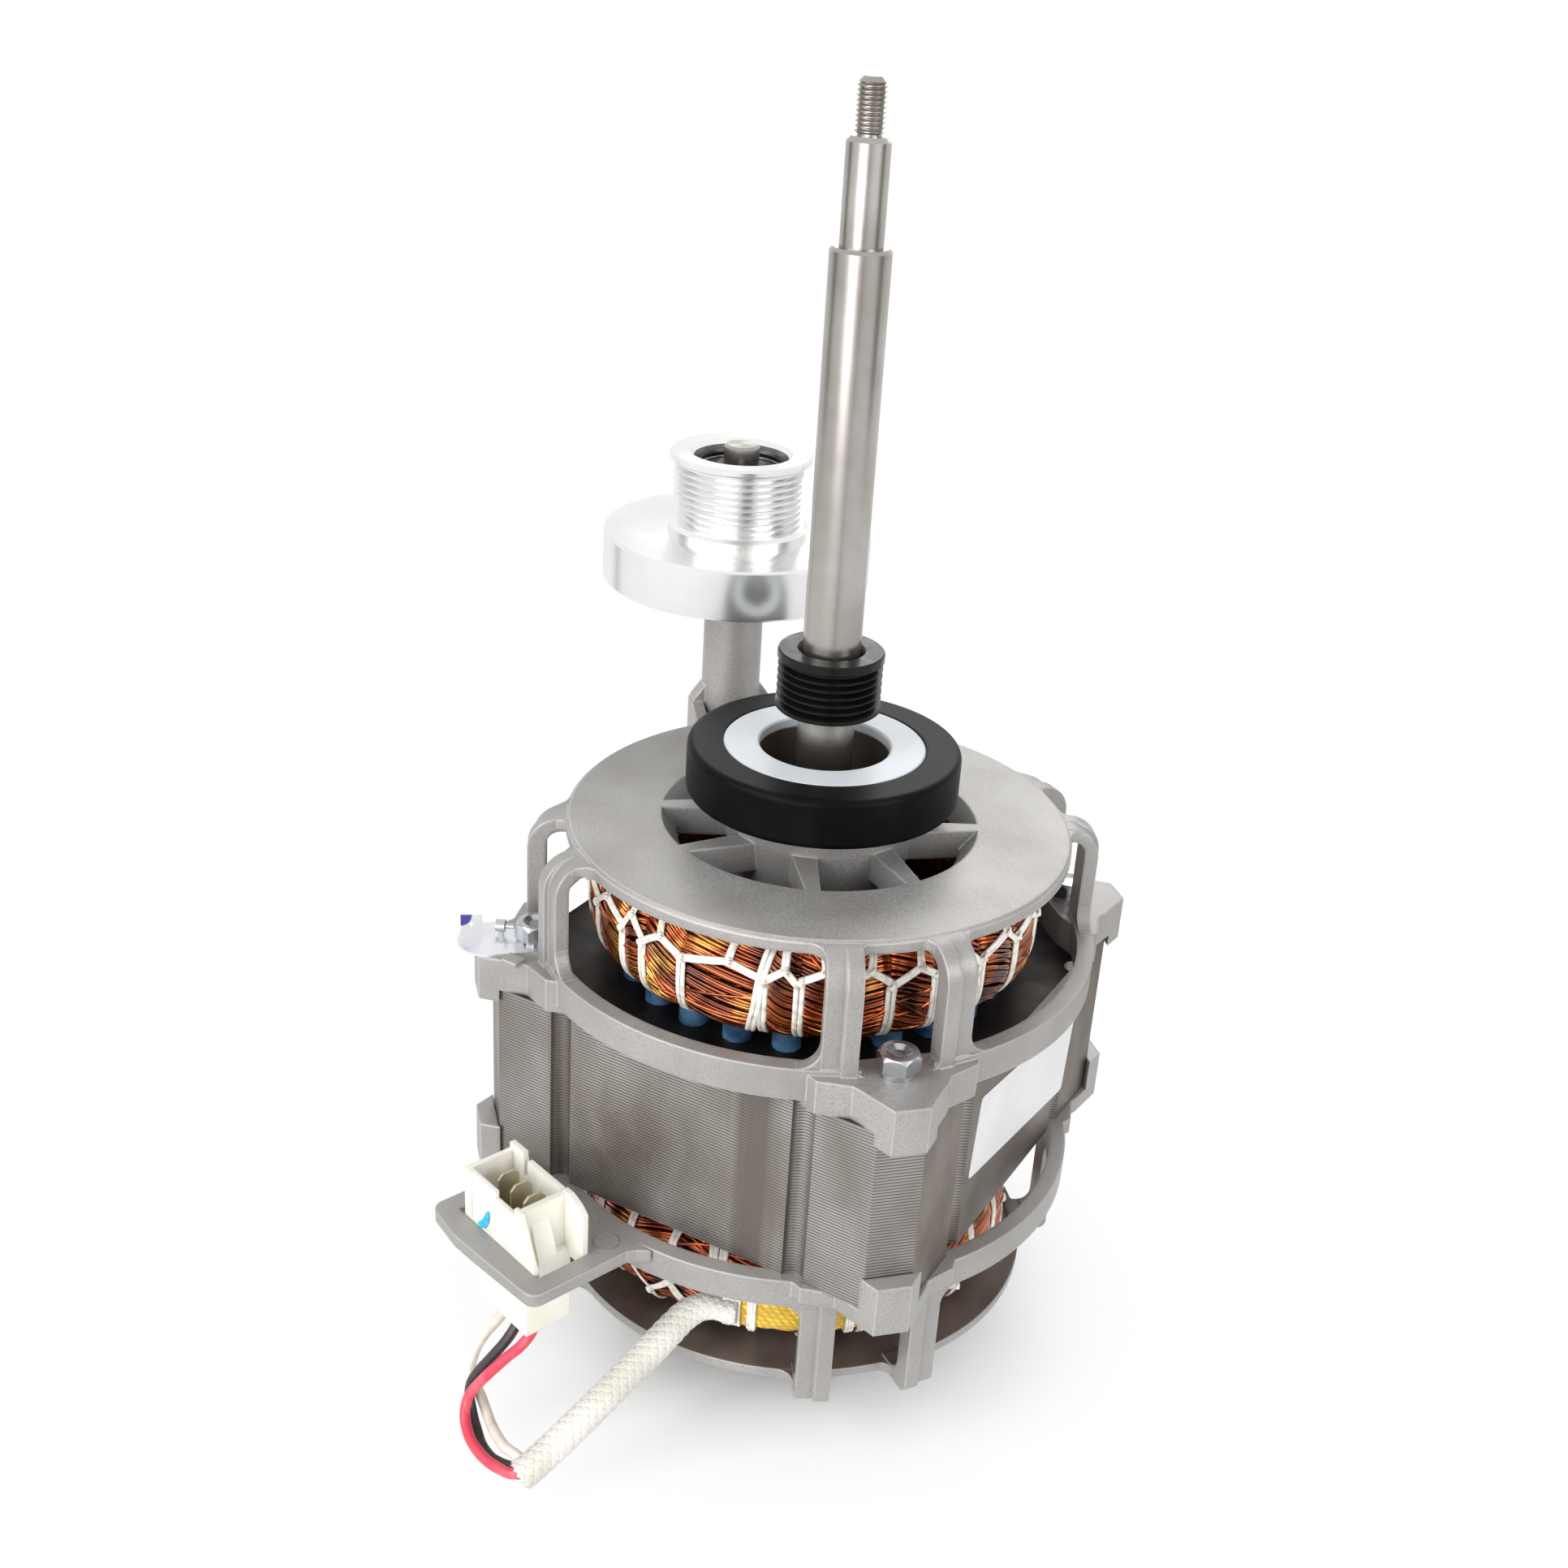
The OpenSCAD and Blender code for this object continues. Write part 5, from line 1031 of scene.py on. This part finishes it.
# %% Fillet bars
def fillet_bar(corner, way_a, way_b, radius, along, length, sink=0.35, steps=7):
    """Corners and faces of one bar, in millimetres."""
    corner, way_a, way_b, along = (np.asarray(v, float) for v in (corner, way_a, way_b, along))
    angle = np.linspace(0, np.pi / 2, steps)
    section = [corner - sink * (way_a + way_b), corner + radius * way_a - sink * way_b]
    section += [corner + radius * ((1 - math.sin(q)) * way_a + (1 - math.cos(q)) * way_b)
                for q in angle]
    section += [corner + radius * way_b - sink * way_a]
    section = np.array(section)
    count = len(section)
    corners = np.concatenate([section, section + along * length])
    faces = [(i, (i + 1) % count, (i + 1) % count + count, i + count) for i in range(count)]
    faces += [tuple(range(count - 1, -1, -1)), tuple(range(count, 2 * count))]
    return corners, faces


print("a fillet bar has", len(fillet_bar((0, 0, 0), (1, 0, 0), (0, 1, 0), 1, (0, 0, 1), 1)[1]),
      "faces")

# %% [markdown]
# Each bell has eight arms, in pairs on both sides of its four ears. A bar is drawn once for an arm
# that points along X, with measures of the solid model in millimetres, and then turned to each
# arm. Under the disc the arm's outer corner is rounded, so the bar's top is cut to that curve.

# %% Fillets of both bells
arm_inner, arm_face, arm_width = 82.1, 86.3, 10.13
disc_edge, disc_low, disc_top = 76.4, 42.02, 45.4
arm_turn = 11.0
ring_fillet, ear_fillet, disc_fillets = 6.5, 2.2, (5.5, 3.0)
disc_bar, disc_sink = 3.6, 0.8


def bell_fillets(upper, ring_top, ear_top, corner_radius):
    """Four bars for each arm of one bell; heights are measured from the stack's end."""
    parts = []
    for quarter in range(4):
        for side in (-1, 1):
            turn = math.radians(45 + 90 * quarter + side * arm_turn)
            c, s = math.cos(turn), math.sin(turn)
            axes = np.array([[c, s, 0], [-s, c, 0], [0, 0, 1]])
            far = np.array([0, side, 0.0])
            bars = [fillet_bar((arm_inner, side * arm_width / 2, ring_top), far, (0, 0, 1),
                               ring_fillet, (1, 0, 0), arm_face - arm_inner - 0.05),
                    fillet_bar((arm_inner, -side * arm_width / 2, ear_top), -far, (0, 0, 1),
                               ear_fillet, (1, 0, 0), arm_face - arm_inner + 1.2)]
            for edge, radius in zip((side, -side), disc_fillets):
                bar = fillet_bar((disc_edge - 0.35, edge * arm_width / 2, disc_low), (1, 0, 0),
                                 (-0.08, edge, 0), radius, (0, 0, 1), disc_bar, disc_sink)
                x = bar[0][:, 0]
                past = np.clip(x - (arm_face - corner_radius), 0, corner_radius * 0.99)
                roof = disc_top - corner_radius + np.sqrt(corner_radius ** 2 - past ** 2)
                bar[0][:, 2] = np.minimum(bar[0][:, 2], roof - 0.05)
                bars.append(bar)
            for corners, faces in bars:
                placed = corners @ axes
                placed[:, 2] = stack_top + placed[:, 2] if upper else stack_low - placed[:, 2]
                parts.append((placed * MM, faces))
    return parts


fillets = bell_fillets(True, ring_top=12.0, ear_top=10.4, corner_radius=10.0)
fillets += bell_fillets(False, ring_top=9.0, ear_top=5.2, corner_radius=3.0)
make_piece("casting_fillets", fillets, cast, "stator", smooth=False)

# %% [markdown]
# Marks of the mould
#
# Where a pin pushes a casting out of its mould it leaves a round print. One shows on the flat
# plate that holds the connector: two shallow rings, the outer one as wide as a pencil.

# %% Ejector print
print_centre = (-12.4, -91.5, 70.2)


def ring_line(centre, radius, count=48):
    """Points of a level circle, given in millimetres."""
    turn = np.linspace(0, 2 * np.pi, count, endpoint=False)
    return np.stack([centre[0] + radius * np.cos(turn), centre[1] + radius * np.sin(turn),
                     np.full(count, centre[2])], axis=1) * MM


print_parts = [tube(ring_line(print_centre, radius), 0.00016, 6, closed=True)
               for radius in (3.6, 4.1)]
make_piece("ejector_print", print_parts, cast, "stator")

# %% [markdown]
# The connector has a stroke of cyan marker on its front, such as a tester leaves. It is a film of
# ink with a curved outline, so a small patch of mesh, a little proud of the wall, does it better
# than a mask in the plastic's finish, which would have to be placed by numbers alone.

# %% Stroke of marker on the connector
ink = new_finish("cyan_marker", seen(30, 178, 216), 0.35)
mottle(ink, 0.002, seen(20, 160, 204), seen(70, 200, 228))
connector_turn = math.radians(-18.3)
along_front = np.array([math.cos(connector_turn), math.sin(connector_turn), 0])
into_front = np.array([-math.sin(connector_turn), math.cos(connector_turn), 0])
front_centre = np.array([-35.3, -101, 0]) - 8.9 * into_front
ink_depth = 0.25
stroke = [(-5.2, 78.2), (-5.9, 77.4), (-6.8, 75.4), (-8.3, 73.2), (-10.2, 71.3), (-10.0, 70.4),
          (-8.4, 70.3), (-6.6, 71.2), (-5.3, 73.2), (-4.6, 75.4), (-4.6, 77.4)]
stroke_face = [(front_centre + u * along_front + (0, 0, z)) * MM for u, z in stroke]
stroke_back = [point + ink_depth * MM * into_front for point in stroke_face]
count = len(stroke)
stroke_faces = [tuple(range(count - 1, -1, -1)), tuple(range(count, 2 * count))]
stroke_faces += [(i, (i + 1) % count, (i + 1) % count + count, i + count) for i in range(count)]
make_piece("marker_stroke", [(np.array(stroke_face + stroke_back), stroke_faces)], ink, "stator",
           smooth=False)

# %% [markdown]
# Floor, background and light
#
# The floor is pale and keeps the motor's shadow near it, and fades to plain white further out. Rays
# from the camera, and rays that a mirror sends on, see a floor and a sky that are white. All other
# rays meet the real floor and a dimmer sky, so the white background adds no light to the motor.

# %% Studio helpers
def backdrop_rays(owner):
    """1 for rays that show the backdrop, 0 for the rays that light the motor."""
    rays = add_node(owner, "LightPath")
    seen_or_mirrored = calculate(owner, "MAXIMUM", rays.outputs["Is Camera Ray"],
                                 rays.outputs["Is Glossy Ray"])
    return calculate(owner, "MAXIMUM", seen_or_mirrored, rays.outputs["Is Transmission Ray"])


def flat_sheet(name, x_range, y_range, paint):
    """A flat rectangle that belongs to the studio and not to the motor."""
    (x0, x1), (y0, y1) = x_range, y_range
    mesh = bpy.data.meshes.new(name)
    mesh.from_pydata([(x0, y0, 0), (x1, y0, 0), (x1, y1, 0), (x0, y1, 0)], [], [(0, 1, 2, 3)])
    mesh.materials.append(paint)
    sheet = bpy.data.objects.new(name, mesh)
    bpy.context.collection.objects.link(sheet)
    return sheet


print("studio helpers are ready")

# %% [markdown]
# The floor blends a real pale surface with plain white light. How much white there is depends on
# the distance from the shaft, so the shadow under the motor stays and its far edge fades out.

# %% Floor
floor_reach = 14
floor_gap = 0.0004
shadow_from, shadow_to = 0.04, 0.13
pale = new_finish("pale_floor", (0.93, 0.93, 0.93), 0.9)
white = add_node(pale, "Emission")
white.inputs["Color"].default_value = (1, 1, 1, 1)
white.inputs["Strength"].default_value = 1.0
distance = add_node(pale, "VectorMath", [(0, object_place(pale))], operation="LENGTH")
fade = add_node(pale, "MapRange", [(0, distance.outputs["Value"])],
                interpolation_type="SMOOTHSTEP")
fade.inputs[1].default_value, fade.inputs[2].default_value = shadow_from, shadow_to
share = calculate(pale, "MULTIPLY", backdrop_rays(pale), fade.outputs[0])
blend = add_node(pale, "MixShader",
                 [(0, share), (1, pale.node_tree.nodes["Principled BSDF"].outputs[0]),
                  (2, white.outputs[0])])
pale.node_tree.links.new(blend.outputs[0], pale.node_tree.nodes["Material Output"].inputs[0])
floor = flat_sheet("studio_floor", (-floor_reach, floor_reach), (-floor_reach, floor_reach), pale)
floor.location.z = -floor_gap
print("the floor turns white", shadow_to, "m from the shaft")

# %% [markdown]
# The world gives soft light from all round, and only looks white where it is seen or mirrored.

# %% World
world = bpy.data.worlds.new("studio_world")
bpy.context.scene.world = world
world.use_nodes = True
sky = world.node_tree.nodes["Background"]
sky.inputs["Color"].default_value = (1, 1, 1, 1)
lighting_level, seen_level = 0.72, 1.0
level = add_node(world, "MapRange", [(0, backdrop_rays(world))])
level.inputs[3].default_value, level.inputs[4].default_value = lighting_level, seen_level
world.node_tree.links.new(level.outputs[0], sky.inputs["Strength"])
print("the sky lights the motor at", lighting_level)

# %% [markdown]
# A product photograph of a shiny thing is mostly a photograph of its studio. Large soft lamps give
# long highlights. There are four: the key from the front left, a low one in front, a weak one at
# the right, and one behind that lifts the edges.

# %% Lamps
motor_middle = (0, 0, 0.16)


def aim(thing, target):
    """Turns a lamp or a board so that it faces a point."""
    to_target = Vector(target) - thing.location
    thing.rotation_euler = to_target.to_track_quat("-Z", "Y").to_euler()


for lamp_name, where, size, power in (("key_lamp", (-0.9, -1.6, 1.3), 1.1, 22.0),
                                      ("low_lamp", (0.1, -1.25, 0.3), 0.7, 7.0),
                                      ("side_lamp", (1.05, -0.15, 0.6), 0.5, 4.0),
                                      ("back_lamp", (-0.3, 1.0, 0.9), 0.6, 3.5)):
    lamp_data = bpy.data.lights.new(lamp_name, "AREA")
    lamp_data.size = size
    lamp_data.energy = power
    lamp = bpy.data.objects.new(lamp_name, lamp_data)
    bpy.context.collection.objects.link(lamp)
    lamp.location = where
    aim(lamp, motor_middle)
    print(lamp_name, power, "W, at", where)

# %% [markdown]
# In an all-white room polished metal turns all white. Dark boards outside the picture give it
# something to mirror: three stand round the motor, and three strips lie on the floor, for the
# stripes that the big pulley and the shaft show. Glossy rays alone see them.

# %% Dark boards
dark = new_finish("dark_board", (0.01, 0.01, 0.01), 1.0)
grey = new_finish("grey_board", (0.3, 0.29, 0.28), 1.0)
strip_lift = 0.002


def mirrored_only(board):
    """Hides a board from all rays but those that a shiny surface sends on."""
    board.visible_camera = board.visible_diffuse = False
    board.visible_shadow = board.visible_transmission = False


for board_name, where, width, height in (("left_board", (-1.15, -0.35, 0.25), 0.4, 0.9),
                                         ("right_board", (0.80, -1.0, 0.3), 0.26, 0.9),
                                         ("far_board", (1.1, 0.45, 0.3), 0.5, 0.9)):
    board = flat_sheet(board_name, (-width / 2, width / 2), (-height / 2, height / 2), dark)
    board.location = where
    aim(board, motor_middle)
    mirrored_only(board)
for strip_name, angle, near, far, width, paint in (
        ("front_strip", 35, 0.2, 1.0, 0.07, dark), ("left_strip", -95, 0.35, 1.0, 0.09, grey),
        ("right_strip", 156, 0.25, 1.0, 0.10, grey)):
    strip = flat_sheet(strip_name, (-width / 2, width / 2), (-far, -near), paint)
    strip.location.z = strip_lift
    strip.rotation_euler.z = math.radians(angle)
    mirrored_only(strip)
print("three boards and three strips are up")
